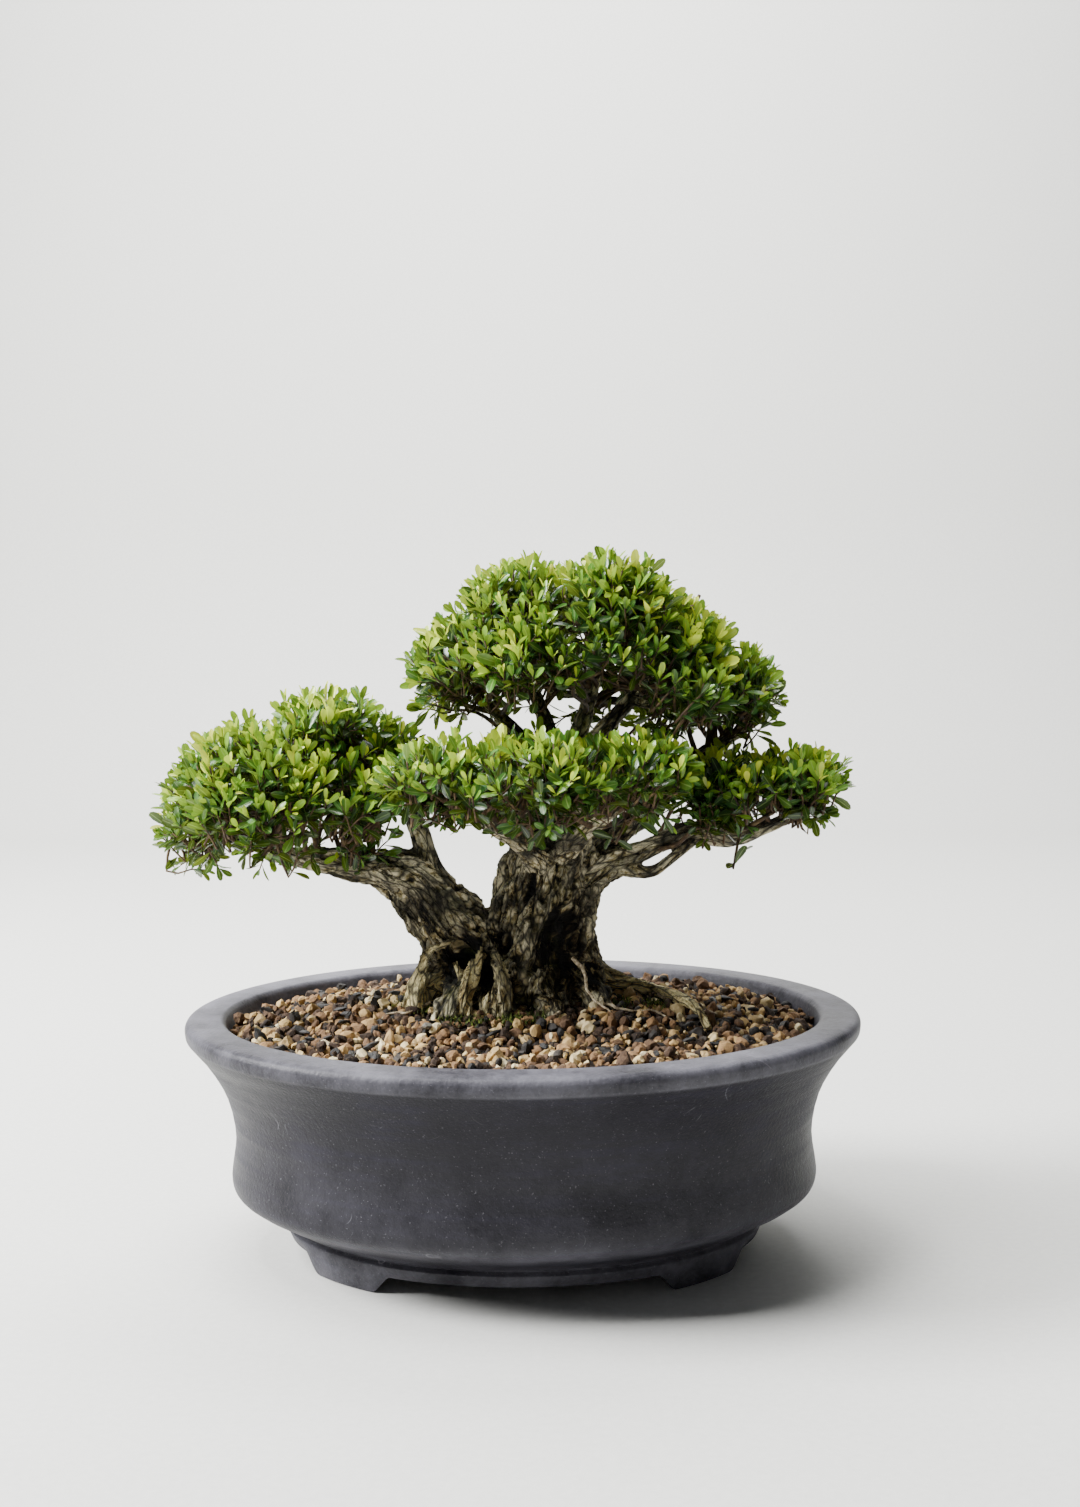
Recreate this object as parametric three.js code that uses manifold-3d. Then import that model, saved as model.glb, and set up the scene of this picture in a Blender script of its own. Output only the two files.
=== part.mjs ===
// A Harland boxwood bonsai, about 31 cm tall, growing in an unglazed oval stoneware pot.
// Millimetres, +Z up. The front of the tree faces -Y. Every piece is laid out round the middle of the pot's
// foot, and at the end the whole tree is set with the middle of its overall box over the origin.
import * as THREE from "three";
import { mergeVertices } from "three/addons/utils/BufferGeometryUtils.js";
import Module from "manifold-3d";

const wasm = await Module();
wasm.setup();

// Driving dimensions
const CLEARANCE = 0.35; // between pieces that rest in or on each other
const SHORTEST_EDGE = 0.05;
const WELD = 1e-3; // corners this close are one corner
const POT_HALF_WIDTH = 150;
const POT_HALF_DEPTH = 120;
const POT_HEIGHT = 106;
const POT_SEGMENTS = 36;
const FOOT_HEIGHT = 7.6;
const FLOOR_TOP = 22;
const FLOOR_UNDERSIDE = 9;
const DRAIN_RADIUS = 10;
const DRAIN_OFFSET = 52; // each drain hole from the pot's middle, along X
const SCREEN_PITCH = 8.6;
const SCREEN_BAR = 2.4;
const SCREEN_CELLS = 3;
const SCREEN_THICKNESS = 1.2;
const SOIL_EDGE_HEIGHT = 99.5;
const SOIL_CROWN_HEIGHT = 112;
const GRAIN_COUNT = 30;
const GRAIN_RADIUS = 9;
const LEAF_LENGTH = 23;
const LEAF_WIDTH = 10.5;
const LEAF_THICKNESS = 0.7;
const LEAF_SUNK = 3.5; // how deep each shoot starts inside its spray's core
const STALK_SPREAD = 3.6; // how far the leaves of one shoot start from its middle
const SHOOTS_PER_SPRAY = 4;
const LEAVES_PER_SHOOT = 4;

const GOLDEN_ANGLE = Math.PI * (3 - Math.sqrt(5));

const MATERIALS = {
  stoneware: new THREE.MeshStandardMaterial({ color: 0x4b4644, roughness: 0.62, metalness: 0 }),
  soil: new THREE.MeshStandardMaterial({ color: 0x8a6a4e, roughness: 0.95, metalness: 0 }),
  bark: new THREE.MeshStandardMaterial({ color: 0x6b5c43, roughness: 0.9, metalness: 0 }),
  leaf: new THREE.MeshStandardMaterial({ color: 0x5e8c2c, roughness: 0.45, metalness: 0 }),
  screen: new THREE.MeshStandardMaterial({ color: 0x2c2c2e, roughness: 0.6, metalness: 0 }),
};

// A small seeded generator of numbers from 0 to 1, so that every build grows the same tree.
function seeded(seed) {
  let state = seed;
  return () => {
    state = (state + 0x6d2b79f5) | 0;
    let t = Math.imul(state ^ (state >>> 15), 1 | state);
    t = (t + Math.imul(t ^ (t >>> 7), 61 | t)) ^ t;
    return ((t ^ (t >>> 14)) >>> 0) / 4294967296;
  };
}

// Solids in and out of the boolean library
function toSolid(geometry, weld = 1e-4) {
  const bare = geometry.clone();
  for (const name of Object.keys(bare.attributes)) {
    if (name !== "position") bare.deleteAttribute(name);
  }
  const merged = mergeVertices(bare, weld);
  return new wasm.Manifold(
    new wasm.Mesh({
      numProp: 3,
      vertProperties: new Float32Array(merged.attributes.position.array),
      triVerts: new Uint32Array(merged.index.array),
    }),
  );
}

function toGeometry(solid) {
  const mesh = solid.getMesh();
  const geometry = new THREE.BufferGeometry();
  geometry.setAttribute("position", new THREE.BufferAttribute(mesh.vertProperties, 3));
  geometry.setIndex(new THREE.BufferAttribute(mesh.triVerts, 1));
  geometry.computeVertexNormals();
  return geometry;
}

function join(solids) {
  return solids.reduce((whole, solid) => whole.add(solid));
}

// The largest body of a solid without its hair-thin edges, which drops the scraps that a cut leaves loose.
function mainBody(solid) {
  const settled = toSolid(toGeometry(solid.simplify(SHORTEST_EDGE)), WELD);
  return settled.decompose().reduce((a, b) => (b.volume() > a.volume() ? b : a));
}

// Joins rings of points, all of one count, into a closed skin. A fan closes each end, at the ring's middle.
function skin(rings) {
  const count = rings[0].length;
  const middle = (ring) => ring.reduce((sum, p) => sum.add(p), new THREE.Vector3()).divideScalar(count);
  const points = [...rings.flat(), middle(rings[0]), middle(rings.at(-1))];
  const firstMiddle = points.length - 2;
  const lastMiddle = points.length - 1;
  const lastStart = (rings.length - 1) * count;
  const index = [];
  for (let i = 0; i < count; i++) {
    const next = (i + 1) % count;
    index.push(firstMiddle, next, i);
    index.push(lastMiddle, lastStart + i, lastStart + next);
    for (let row = 0; row < rings.length - 1; row++) {
      const a = row * count;
      const b = a + count;
      index.push(a + i, a + next, b + next, a + i, b + next, b + i);
    }
  }
  return new THREE.BufferGeometry().setFromPoints(points).setIndex(index);
}

// The pot
// A level ring that lies inset from the pot's widest oval by the same amount all the way round.
function ovalRing(inset, z, segments = POT_SEGMENTS) {
  return Array.from({ length: segments }, (_, i) => {
    const angle = (i / segments) * 2 * Math.PI;
    const x = (POT_HALF_WIDTH - inset) * Math.cos(angle);
    const y = (POT_HALF_DEPTH - inset) * Math.sin(angle);
    return new THREE.Vector3(x, y, z);
  });
}

// [inset from the lip's widest line, height], from under the floor, out round the wall and back in.
const POT_PROFILE = [
  [54, FLOOR_UNDERSIDE],
  [56, 0],
  [45, 0],
  [42.6, 13.2], // top of the foot band
  [45.2, 14.6], // crease over the band
  [26, 26], // sharp lower corner of the belly
  [20.6, 30.5],
  [19.3, 35],
  [21.4, 54], // waist
  [17.6, 73],
  [9.4, 88],
  [3, 96],
  [0.4, 99], // lower edge of the lip
  [0, 103],
  [1.2, 105.2],
  [3.6, POT_HEIGHT],
  [16.2, POT_HEIGHT],
  [18, 104.2], // inner edge of the lip
  [21, 94],
  [29, 62],
  [29.5, 38],
  [37, FLOOR_TOP],
];

// The gap between two feet: a wedge, wider at the ground, that is cut through the foot band.
function footGap(halfAtGround, halfAtTop, reach, turn) {
  const below = -5;
  const slope = (halfAtGround - halfAtTop) / FOOT_HEIGHT;
  const halfBelow = halfAtGround - slope * below;
  const outline = new THREE.Shape([
    new THREE.Vector2(-halfBelow, below),
    new THREE.Vector2(halfBelow, below),
    new THREE.Vector2(halfAtTop, FOOT_HEIGHT),
    new THREE.Vector2(-halfAtTop, FOOT_HEIGHT),
  ]);
  const gap = new THREE.ExtrudeGeometry(outline, { depth: 2 * reach, bevelEnabled: false });
  return gap.translate(0, 0, -reach).rotateX(Math.PI / 2).rotateZ(turn);
}

function drainHole(x) {
  const hole = new THREE.CylinderGeometry(DRAIN_RADIUS, DRAIN_RADIUS, 2 * FLOOR_TOP, 20);
  return hole.rotateX(Math.PI / 2).translate(x, 0, FLOOR_TOP);
}

function makePot() {
  const wall = toSolid(skin(POT_PROFILE.map(([inset, z]) => ovalRing(inset, z))));
  const cuts = [
    footGap(63, 56, POT_HALF_DEPTH, 0),
    footGap(40, 33, POT_HALF_WIDTH, Math.PI / 2),
    drainHole(-DRAIN_OFFSET),
    drainHole(DRAIN_OFFSET),
  ];
  return cuts.reduce((pot, cut) => pot.subtract(toSolid(cut)), wall);
}

// The plastic screen that keeps the soil off each drain hole
const SCREEN_SIZE = SCREEN_CELLS * SCREEN_PITCH + SCREEN_BAR;
const SCREEN_BOTTOM = FLOOR_TOP + CLEARANCE;

function makeScreen(x) {
  const bars = [];
  for (let i = 0; i <= SCREEN_CELLS; i++) {
    const across = (i - SCREEN_CELLS / 2) * SCREEN_PITCH;
    bars.push(new THREE.BoxGeometry(SCREEN_BAR, SCREEN_SIZE, SCREEN_THICKNESS).translate(across, 0, 0));
    bars.push(new THREE.BoxGeometry(SCREEN_SIZE, SCREEN_BAR, SCREEN_THICKNESS).translate(0, across, 0));
  }
  const middle = SCREEN_BOTTOM + SCREEN_THICKNESS / 2;
  return join(bars.map((bar) => toSolid(bar.translate(x, 0, middle))));
}

function screenPocket(x) {
  const side = SCREEN_SIZE + 2 * CLEARANCE;
  const deep = 2 * (SCREEN_THICKNESS + CLEARANCE);
  return toSolid(new THREE.BoxGeometry(side, side, deep).translate(x, 0, SCREEN_BOTTOM));
}

// The wood: trunk, roots, limbs and twigs, grown as one piece
// A limb is a tapering tube along a smooth curve. Its section has ridges that follow the limb, as old boxwood
// bark does. extra thickens it all over, for cutting its bed in another piece.
function limb({ path, radii, sides = 5, steps = path.length, ridge = 0, lean = 0 }, extra = 0) {
  const curve = new THREE.CatmullRomCurve3(path.map((p) => new THREE.Vector3(...p)));
  const { tangents, normals, binormals } = curve.computeFrenetFrames(steps);
  const rings = [];
  for (let step = 0; step <= steps; step++) {
    const along = step / steps;
    const place = along * (radii.length - 1);
    const below = Math.min(Math.floor(place), radii.length - 2);
    const radius = THREE.MathUtils.lerp(radii[below], radii[below + 1], place - below) + extra;
    const middle = curve.getPointAt(along);
    if (step === 0) middle.addScaledVector(tangents[0], -extra);
    if (step === steps) middle.addScaledVector(tangents[steps], extra);
    const ring = [];
    for (let side = 0; side < sides; side++) {
      const angle = (side / sides) * 2 * Math.PI;
      const wave = Math.sin(3 * angle + lean * along) + (side % 2 ? -1 : 1) * 0.8;
      const reach = radius * (1 + ridge * wave);
      const point = middle.clone();
      point.addScaledVector(normals[step], reach * Math.cos(angle));
      point.addScaledVector(binormals[step], reach * Math.sin(angle));
      ring.push(point);
    }
    rings.push(ring);
  }
  return toSolid(skin(rings));
}

const TRUNK = {
  path: [[2, 4, 78], [2, 3, 104], [6, 2, 126], [9, 2, 150], [15, 4, 178], [19, 7, 204], [22, 8, 228]],
  radii: [24, 30, 26.5, 22, 18.5, 14.5, 8],
  sides: 12,
  steps: 9,
  ridge: 0.06,
  lean: 3,
};
const LEFT_LIMB = {
  path: [
    [-8, 0, 108], [-22, -2, 130], [-35, -3, 148], [-48, -3, 164], [-64, -4, 171],
    [-86, -5, 174], [-112, -6, 178],
  ],
  radii: [20, 17.5, 15, 12, 7.5, 5, 3.2],
  sides: 9,
  steps: 8,
  ridge: 0.06,
  lean: -2,
};
const LEFT_FORK = {
  path: [[-38, -2, 156], [-43, 0, 177], [-48, 2, 192], [-60, 4, 210]],
  radii: [9, 5.6, 4.4, 2.6],
};
const LEFT_TIP = {
  path: [[-100, -6, 176], [-118, -8, 184], [-134, -10, 191]],
  radii: [4, 3, 1.8],
};
const RIGHT_LIMB = {
  path: [
    [12, 0, 146], [33, -2, 168], [53, -3, 177], [75, -5, 185.5], [92, -6, 184],
    [112, -6, 189], [124, -6, 196],
  ],
  radii: [13, 8, 5.8, 4.2, 4.4, 3, 1.8],
  sides: 8,
  steps: 9,
  ridge: 0.05,
};
const RIGHT_STRAND = {
  path: [[44, -4, 170], [57, -7, 168.5], [68, -8, 176], [80, -6, 185]],
  radii: [4, 2.8, 2.4, 2.2],
  steps: 5,
};
const CROWN_RIGHT = {
  path: [[20, 6, 158], [36, 6, 178], [53, 8, 192], [73, 9, 212], [96, 8, 228], [108, 6, 236]],
  radii: [9, 6.4, 5.4, 4.4, 2.8, 1.8],
  steps: 7,
};
const LEADERS = [
  { path: [[16, 6, 200], [4, 5, 222], [-10, 2, 238], [-22, 0, 250]], radii: [8, 4.8, 3.4, 2] },
  { path: [[17, 8, 206], [12, 10, 232], [4, 13, 252], [-4, 16, 264]], radii: [7, 4.4, 3.2, 2] },
  { path: [[19, 6, 210], [28, 0, 236], [34, -4, 256], [38, -6, 268]], radii: [7, 4.6, 3.2, 2] },
  { path: [[21, 8, 210], [40, 8, 234], [58, 9, 252], [70, 9, 262]], radii: [7, 4.4, 3.2, 2] },
  { path: [[18, 10, 200], [24, 24, 224], [34, 32, 244]], radii: [7, 4, 2.2] },
];
const FRONT_LIMBS = [
  { path: [[10, -8, 172], [0, -28, 184], [-14, -44, 194]], radii: [8, 4.6, 2.6] },
  { path: [[16, -6, 176], [26, -28, 187], [38, -42, 198]], radii: [8, 4.6, 2.6] },
];
const BACK_LIMB = { path: [[10, 12, 160], [4, 34, 174], [0, 54, 184]], radii: [9, 5, 2.8] };

// Surface roots. Those above the soil show, and each dives into it at its far end.
const ROOTS = [
  { path: [[-20, -4, 128], [-38, -8, 122], [-46, -12, 111], [-50, -15, 96]], radii: [13, 8.5, 6.4, 5] },
  { path: [[-18, -12, 124], [-29, -24, 116], [-34, -33, 106], [-37, -38, 92]], radii: [11, 6.4, 5.2, 4] },
  { path: [[-6, -16, 124], [-12, -28, 113], [-15, -36, 98]], radii: [11, 6, 4.6] },
  { path: [[8, -14, 122], [12, -27, 111], [14, -35, 96]], radii: [12, 6.6, 5] },
  { path: [[22, -8, 122], [32, -17, 111], [37, -24, 96]], radii: [12, 6.6, 5] },
  {
    path: [[22, 2, 128], [40, 1, 118], [56, 0, 112.5], [70, -3, 109], [82, -6, 100]],
    radii: [13, 6, 3.6, 2.8, 2.2],
  },
  { path: [[16, 16, 122], [26, 30, 110], [32, 38, 94]], radii: [12, 6.2, 4.6] },
  { path: [[-12, 16, 122], [-20, 30, 110], [-26, 39, 94]], radii: [12, 6.4, 4.8] },
];

// The foliage pads. The sprays of a pad stand in tiers round its dome. A tier is [how many sprays, how far
// out, how high, how far round it starts], the second and third as shares of the dome's half-width,
// half-depth and height, the last in quarter turns from the right. lean is how much higher the right end of
// the pad stands. core is the half-width and half-height of the dense middle of a spray.
const PADS = [
  {
    name: "crown", middle: [38, 3, 245.5], dome: [58, 30, 34],
    tiers: [[2, 0.6, 0.86, 0], [2, 0.56, 1.02, 1], [6, 1, 0.15, 0]], lean: -7,
    core: [15, 11], limbs: [...LEADERS, CROWN_RIGHT],
  },
  {
    name: "left", middle: [-104, -5, 194], dome: [34, 26, 30],
    tiers: [[2, 0.5, 0.8, 0], [5, 1, -0.1, 2]], lean: 3,
    core: [14.5, 10], limbs: [LEFT_LIMB, LEFT_FORK, LEFT_TIP],
  },
  {
    name: "front", middle: [10, -42, 209], dome: [39, 15, 10], tiers: [[4, 1, 0, 0]], lean: 0,
    core: [14, 10], limbs: FRONT_LIMBS,
  },
  {
    name: "right", middle: [107, -6, 201], dome: [13, 10, 10], tiers: [[2, 1, 0, 0]], lean: 0,
    core: [11, 7.5], limbs: [RIGHT_LIMB],
  },
  {
    name: "back", middle: [12, 60, 198], dome: [20, 12, 10], tiers: [[2, 1, 0, 0]], lean: 0,
    core: [14, 9], limbs: [BACK_LIMB],
  },
];

function spraysOf(pad) {
  const offsets = pad.tiers.flatMap(([count, out, height, quarters]) =>
    Array.from({ length: count }, (_, i) => {
      const angle = (i / count) * 2 * Math.PI + (quarters * Math.PI) / 2;
      return new THREE.Vector3(out * Math.cos(angle), out * Math.sin(angle), height);
    }),
  );
  return offsets.map((offset, i) => {
    offset.setZ(offset.z + (pad.lean * offset.x) / pad.dome[2]).multiply(new THREE.Vector3(...pad.dome));
    const outward = offset.clone().normalize();
    const middle = offset.add(new THREE.Vector3(...pad.middle));
    return { name: `${pad.name}_spray_${i + 1}`, pad, middle, outward };
  });
}
const SPRAYS = PADS.flatMap(spraysOf);

// A twig leaves the nearest point of its pad's limbs that lies below the spray, and ends inside the core.
function twigTo(spray) {
  const rise = 4;
  let start = null;
  for (const { path } of spray.pad.limbs) {
    const curve = new THREE.CatmullRomCurve3(path.map((p) => new THREE.Vector3(...p)));
    for (const point of curve.getSpacedPoints(24).slice(6)) {
      const nearer = !start || point.distanceTo(spray.middle) < start.distanceTo(spray.middle);
      if (nearer && point.z < spray.middle.z - rise) start = point;
    }
  }
  const bend = start.clone().lerp(spray.middle, 0.55);
  bend.z -= 0.12 * start.distanceTo(spray.middle);
  const path = [start, bend, spray.middle].map((point) => point.toArray());
  return { path, radii: [2.6, 2.1, 1.5], sides: 4, steps: 2 };
}

const LIMBS = [
  TRUNK, LEFT_LIMB, LEFT_FORK, LEFT_TIP, RIGHT_LIMB, RIGHT_STRAND, CROWN_RIGHT, BACK_LIMB,
  ...LEADERS, ...FRONT_LIMBS, ...ROOTS, ...SPRAYS.map(twigTo),
];

function makeWood(extra = 0) {
  return join(LIMBS.map((one) => limb(one, extra)));
}

// The soil: a low mound of clay grains, drawn fewer and larger than life and half sunk in the mound
const SOIL_PROFILE = [
  [29.9, 38],
  [29.4, 62],
  [19.8, SOIL_EDGE_HEIGHT],
  [40, 102],
  [62, 105],
  [84, 109.5],
  [106, SOIL_CROWN_HEIGHT],
];

function soilHeight(inset) {
  const surface = SOIL_PROFILE.slice(2);
  for (let i = 0; i < surface.length - 1; i++) {
    const [outer, low] = surface[i];
    const [inner, high] = surface[i + 1];
    if (inset <= inner) return THREE.MathUtils.mapLinear(inset, outer, inner, low, high);
  }
  return SOIL_CROWN_HEIGHT;
}

function grains() {
  const random = seeded(11);
  const halfWidth = POT_HALF_WIDTH - SOIL_PROFILE[2][0] - GRAIN_RADIUS - 1;
  const halfDepth = POT_HALF_DEPTH - SOIL_PROFILE[2][0] - GRAIN_RADIUS - 1;
  return Array.from({ length: GRAIN_COUNT }, (_, i) => {
    const out = Math.sqrt((i + 0.5) / GRAIN_COUNT);
    const angle = i * GOLDEN_ANGLE;
    const x = halfWidth * out * Math.cos(angle);
    const y = halfDepth * out * Math.sin(angle);
    const inset = POT_HALF_DEPTH - Math.hypot((x * POT_HALF_DEPTH) / POT_HALF_WIDTH, y);
    const grain = new THREE.OctahedronGeometry(GRAIN_RADIUS * (0.8 + 0.2 * random()));
    grain.scale(1, 0.85 + 0.15 * random(), 0.75);
    grain.rotateX(random() * 0.8).rotateY(random() * 0.8).rotateZ(random() * Math.PI);
    return toSolid(grain.translate(x, y, soilHeight(inset)));
  });
}

function makeSoil(woodBed) {
  const bottom = ovalRing(37 + CLEARANCE, FLOOR_TOP + CLEARANCE);
  const mound = toSolid(skin([bottom, ...SOIL_PROFILE.map(([inset, z]) => ovalRing(inset, z))]));
  const pockets = screenPocket(-DRAIN_OFFSET).add(screenPocket(DRAIN_OFFSET));
  return join([mound, ...grains()]).subtract(pockets).subtract(woodBed);
}

// The foliage
// A leaf blade: narrow at the stalk, widest past the middle, with the blunt tip and the shallow channel of
// boxwood. [share of length, share of half-width, share of width that it lies above the rib]
const BLADE = [
  [0, 0, 0],
  [0.6, 1, 0.12],
  [0.98, 0.4, 0.04],
  [0.98, -0.4, 0.04],
  [0.6, -1, 0.12],
];

const BLADE_FACES = [[0, 4, 1], [1, 4, 3], [1, 3, 2]];

function blade(leaf) {
  const { root, along, across, up, length, width } = leaf;
  const place = ([u, v, w], lift) => {
    const point = root.clone().addScaledVector(along, u * length).addScaledVector(across, (v * width) / 2);
    return point.addScaledVector(up, w * width - 1.6 * u * u + lift);
  };
  const top = BLADE.map((corner) => place(corner, LEAF_THICKNESS / 2));
  const bottom = BLADE.map((corner) => place(corner, -LEAF_THICKNESS / 2));
  const count = BLADE.length;
  const index = [];
  for (const [a, b, c] of BLADE_FACES) {
    index.push(a, b, c);
    index.push(count + a, count + c, count + b);
  }
  for (let i = 0; i < count; i++) {
    const next = (i + 1) % count;
    index.push(i, next, count + next, i, count + next, count + i);
  }
  return toSolid(new THREE.BufferGeometry().setFromPoints([...top, ...bottom]).setIndex(index));
}

// Points spread over a blade, close enough together that two blades which cross have a pair under the limit.
function spread(leaf) {
  const points = [];
  for (const u of [0.2, 0.35, 0.5, 0.65, 0.8, 0.95]) {
    for (const v of [-0.9, 0, 0.9]) {
      const point = leaf.root.clone().addScaledVector(leaf.along, u * leaf.length);
      point.addScaledVector(leaf.across, (v * leaf.width) / 2).addScaledVector(leaf.up, -1.6 * u * u);
      points.push(point);
    }
  }
  return points;
}

// How far out a point lies from a spray's middle, where 1 is the furthest that its core reaches.
function coreShare(spray, point) {
  const [halfWidth, halfHeight] = spray.pad.core;
  const d = point.clone().sub(spray.middle);
  return Math.hypot(d.x / halfWidth, d.y / halfWidth, d.z / halfHeight);
}

// The dense middle of a spray: a small uneven lump that carries the leaves.
function core(spray, random) {
  const ball = new THREE.DodecahedronGeometry(1).deleteAttribute("normal").deleteAttribute("uv");
  const lump = mergeVertices(ball);
  const corners = lump.attributes.position;
  for (let i = 0; i < corners.count; i++) {
    const reach = 0.75 + 0.25 * random();
    corners.setXYZ(i, corners.getX(i) * reach, corners.getY(i) * reach, corners.getZ(i) * reach);
  }
  const [halfWidth, halfHeight] = spray.pad.core;
  return toSolid(lump.scale(halfWidth, halfWidth, halfHeight).translate(...spray.middle.toArray()));
}

const LEAF_GAP = 3.3;
const CORE_GAP_SHARE = 1.1;
const TRIES = 30;

// Short shoots stand out of every side of the core but the one turned to the inside of the pad, each with its
// leaves spread round it like a star. A leaf that would meet another or another spray's core is left out.
function leavesOf(spray, placed, random) {
  const [halfWidth, halfHeight] = spray.pad.core;
  const size = new THREE.Vector3(halfWidth, halfWidth, halfHeight);
  const others = SPRAYS.filter((other) => other !== spray);
  const leaves = [];
  for (let i = 0; i < SHOOTS_PER_SPRAY; i++) {
    const fresh = [];
    for (let attempt = 0; attempt < TRIES && fresh.length < LEAVES_PER_SHOOT - 1; attempt++) {
      fresh.length = 0;
      const height = 1 - (1.7 * (i + random())) / SHOOTS_PER_SPRAY;
      const angle = i * GOLDEN_ANGLE + random() * (1 + attempt * 0.2);
      const round = Math.sqrt(1 - height * height);
      const way = new THREE.Vector3(round * Math.cos(angle), round * Math.sin(angle), height);
      if (way.dot(spray.outward) < -0.5) continue;
      const start = way.clone().multiply(size).multiplyScalar(0.85).add(spray.middle);
      start.addScaledVector(way, -LEAF_SUNK);
      const side = new THREE.Vector3(random() - 0.5, random() - 0.5, 0.1).cross(way).normalize();
      for (let k = 0; k < LEAVES_PER_SHOOT; k++) {
        const turn = ((k + 0.3 * random()) / LEAVES_PER_SHOOT) * 2 * Math.PI;
        const out = side.clone().applyAxisAngle(way, turn);
        const root = start.clone().addScaledVector(out, STALK_SPREAD);
        const along = out.multiplyScalar(0.7).addScaledVector(way, 0.5 + 0.5 * random());
        along.z += 0.2;
        along.normalize();
        const across = way.clone().cross(along).normalize();
        const up = along.clone().cross(across);
        const scale = 0.85 + 0.3 * random();
        const length = LEAF_LENGTH * scale;
        const width = LEAF_WIDTH * scale;
        const leaf = { root, along, across, up, length, width };
        const points = spread(leaf);
        const meetsLeaf = placed.some((a) => points.some((b) => a.distanceTo(b) < LEAF_GAP));
        const meetsCore = others.some((other) => points.some((p) => coreShare(other, p) < CORE_GAP_SHARE));
        if (!meetsLeaf && !meetsCore) fresh.push({ leaf, points });
      }
    }
    leaves.push(...fresh.map(({ leaf }) => leaf));
    placed.push(...fresh.flatMap(({ points }) => points));
  }
  return leaves;
}

function makeSprays(woodBed) {
  const random = seeded(67);
  const placed = [];
  return SPRAYS.map((spray) => {
    const blades = leavesOf(spray, placed, random).map(blade);
    const whole = join([core(spray, random), ...blades]);
    return { name: spray.name, solid: whole.subtract(woodBed) };
  });
}

// Assembly
const bonsai = new THREE.Group();

function place(name, solid, material) {
  const mesh = new THREE.Mesh(toGeometry(mainBody(solid)), material.clone());
  mesh.name = name;
  bonsai.add(mesh);
}

const woodBed = makeWood(CLEARANCE);
place("pot", makePot(), MATERIALS.stoneware);
place("drain_screen_left", makeScreen(-DRAIN_OFFSET), MATERIALS.screen);
place("drain_screen_right", makeScreen(DRAIN_OFFSET), MATERIALS.screen);
place("soil", makeSoil(woodBed), MATERIALS.soil);
place("wood", makeWood(), MATERIALS.bark);
for (const { name, solid } of makeSprays(woodBed)) place(name, solid, MATERIALS.leaf);

// The origin is under the middle of the whole tree's box, on the surface that the feet stand on.
const box = new THREE.Box3().setFromObject(bonsai, true);
const middle = box.getCenter(new THREE.Vector3());
bonsai.position.set(-middle.x, -middle.y, -box.min.z);

export default bonsai;
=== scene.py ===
# %% [markdown]
# # A Harland boxwood bonsai in an oval stoneware pot
# An old, wide tree with clipped pads of small glossy leaves grows in a mound of baked-clay grains. The packed
# model gives every piece its place and its size, so it is loaded first and is never changed. Each finer piece
# then stands in for the plain solid that it replaces.
#
# All measures below are in millimetres, from the middle of the pot's foot. One function turns them into
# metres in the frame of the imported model.

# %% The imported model
import math

import bmesh
import bpy
import numpy as np
from mathutils import Matrix, Vector, noise


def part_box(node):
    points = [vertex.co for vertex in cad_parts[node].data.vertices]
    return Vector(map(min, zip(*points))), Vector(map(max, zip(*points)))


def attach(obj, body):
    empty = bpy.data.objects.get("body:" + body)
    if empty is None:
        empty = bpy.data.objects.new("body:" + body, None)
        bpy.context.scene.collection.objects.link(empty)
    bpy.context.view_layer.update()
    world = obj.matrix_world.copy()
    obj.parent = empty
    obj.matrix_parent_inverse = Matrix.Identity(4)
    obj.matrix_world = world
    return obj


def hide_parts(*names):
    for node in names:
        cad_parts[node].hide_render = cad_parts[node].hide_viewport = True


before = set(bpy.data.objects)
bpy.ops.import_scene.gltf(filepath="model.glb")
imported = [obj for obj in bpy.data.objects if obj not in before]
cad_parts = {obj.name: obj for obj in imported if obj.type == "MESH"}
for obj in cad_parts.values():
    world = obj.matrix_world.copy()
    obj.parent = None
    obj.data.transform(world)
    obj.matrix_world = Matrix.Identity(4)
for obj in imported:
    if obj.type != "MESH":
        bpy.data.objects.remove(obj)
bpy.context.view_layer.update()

MM = 0.001
BODY = "root"
pot_low, pot_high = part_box("pot")
FOOT_MIDDLE = np.array([(pot_low.x + pot_high.x) / 2, (pot_low.y + pot_high.y) / 2, 0.0])
SPRAYS = sorted(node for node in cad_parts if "spray" in node)
print("foot middle at", [round(v, 5) for v in FOOT_MIDDLE], "with", len(SPRAYS), "sprays of leaves")

# %% [markdown]
# ## Helpers
# Colours are easiest to judge as the hex values of a screen, but the shaders work in linear light, so one
# function turns one into the other. One function adds a node with its settings and links. One makes a piece
# from arrays of points and faces, which is much quicker than adding thousands of faces one at a time.

# %% Colour, node and mesh helpers
FACTOR, FIRST, SECOND, MIXED = 0, 6, 7, 2  # sockets of a Mix node that mixes colours


def linear(hex_colour):
    """The linear colour, with alpha, of an sRGB hex value."""
    channels = [int(hex_colour[i : i + 2], 16) / 255 for i in (1, 3, 5)]
    return [c / 12.92 if c <= 0.04045 else ((c + 0.055) / 1.055) ** 2.4 for c in channels] + [1.0]


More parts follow.
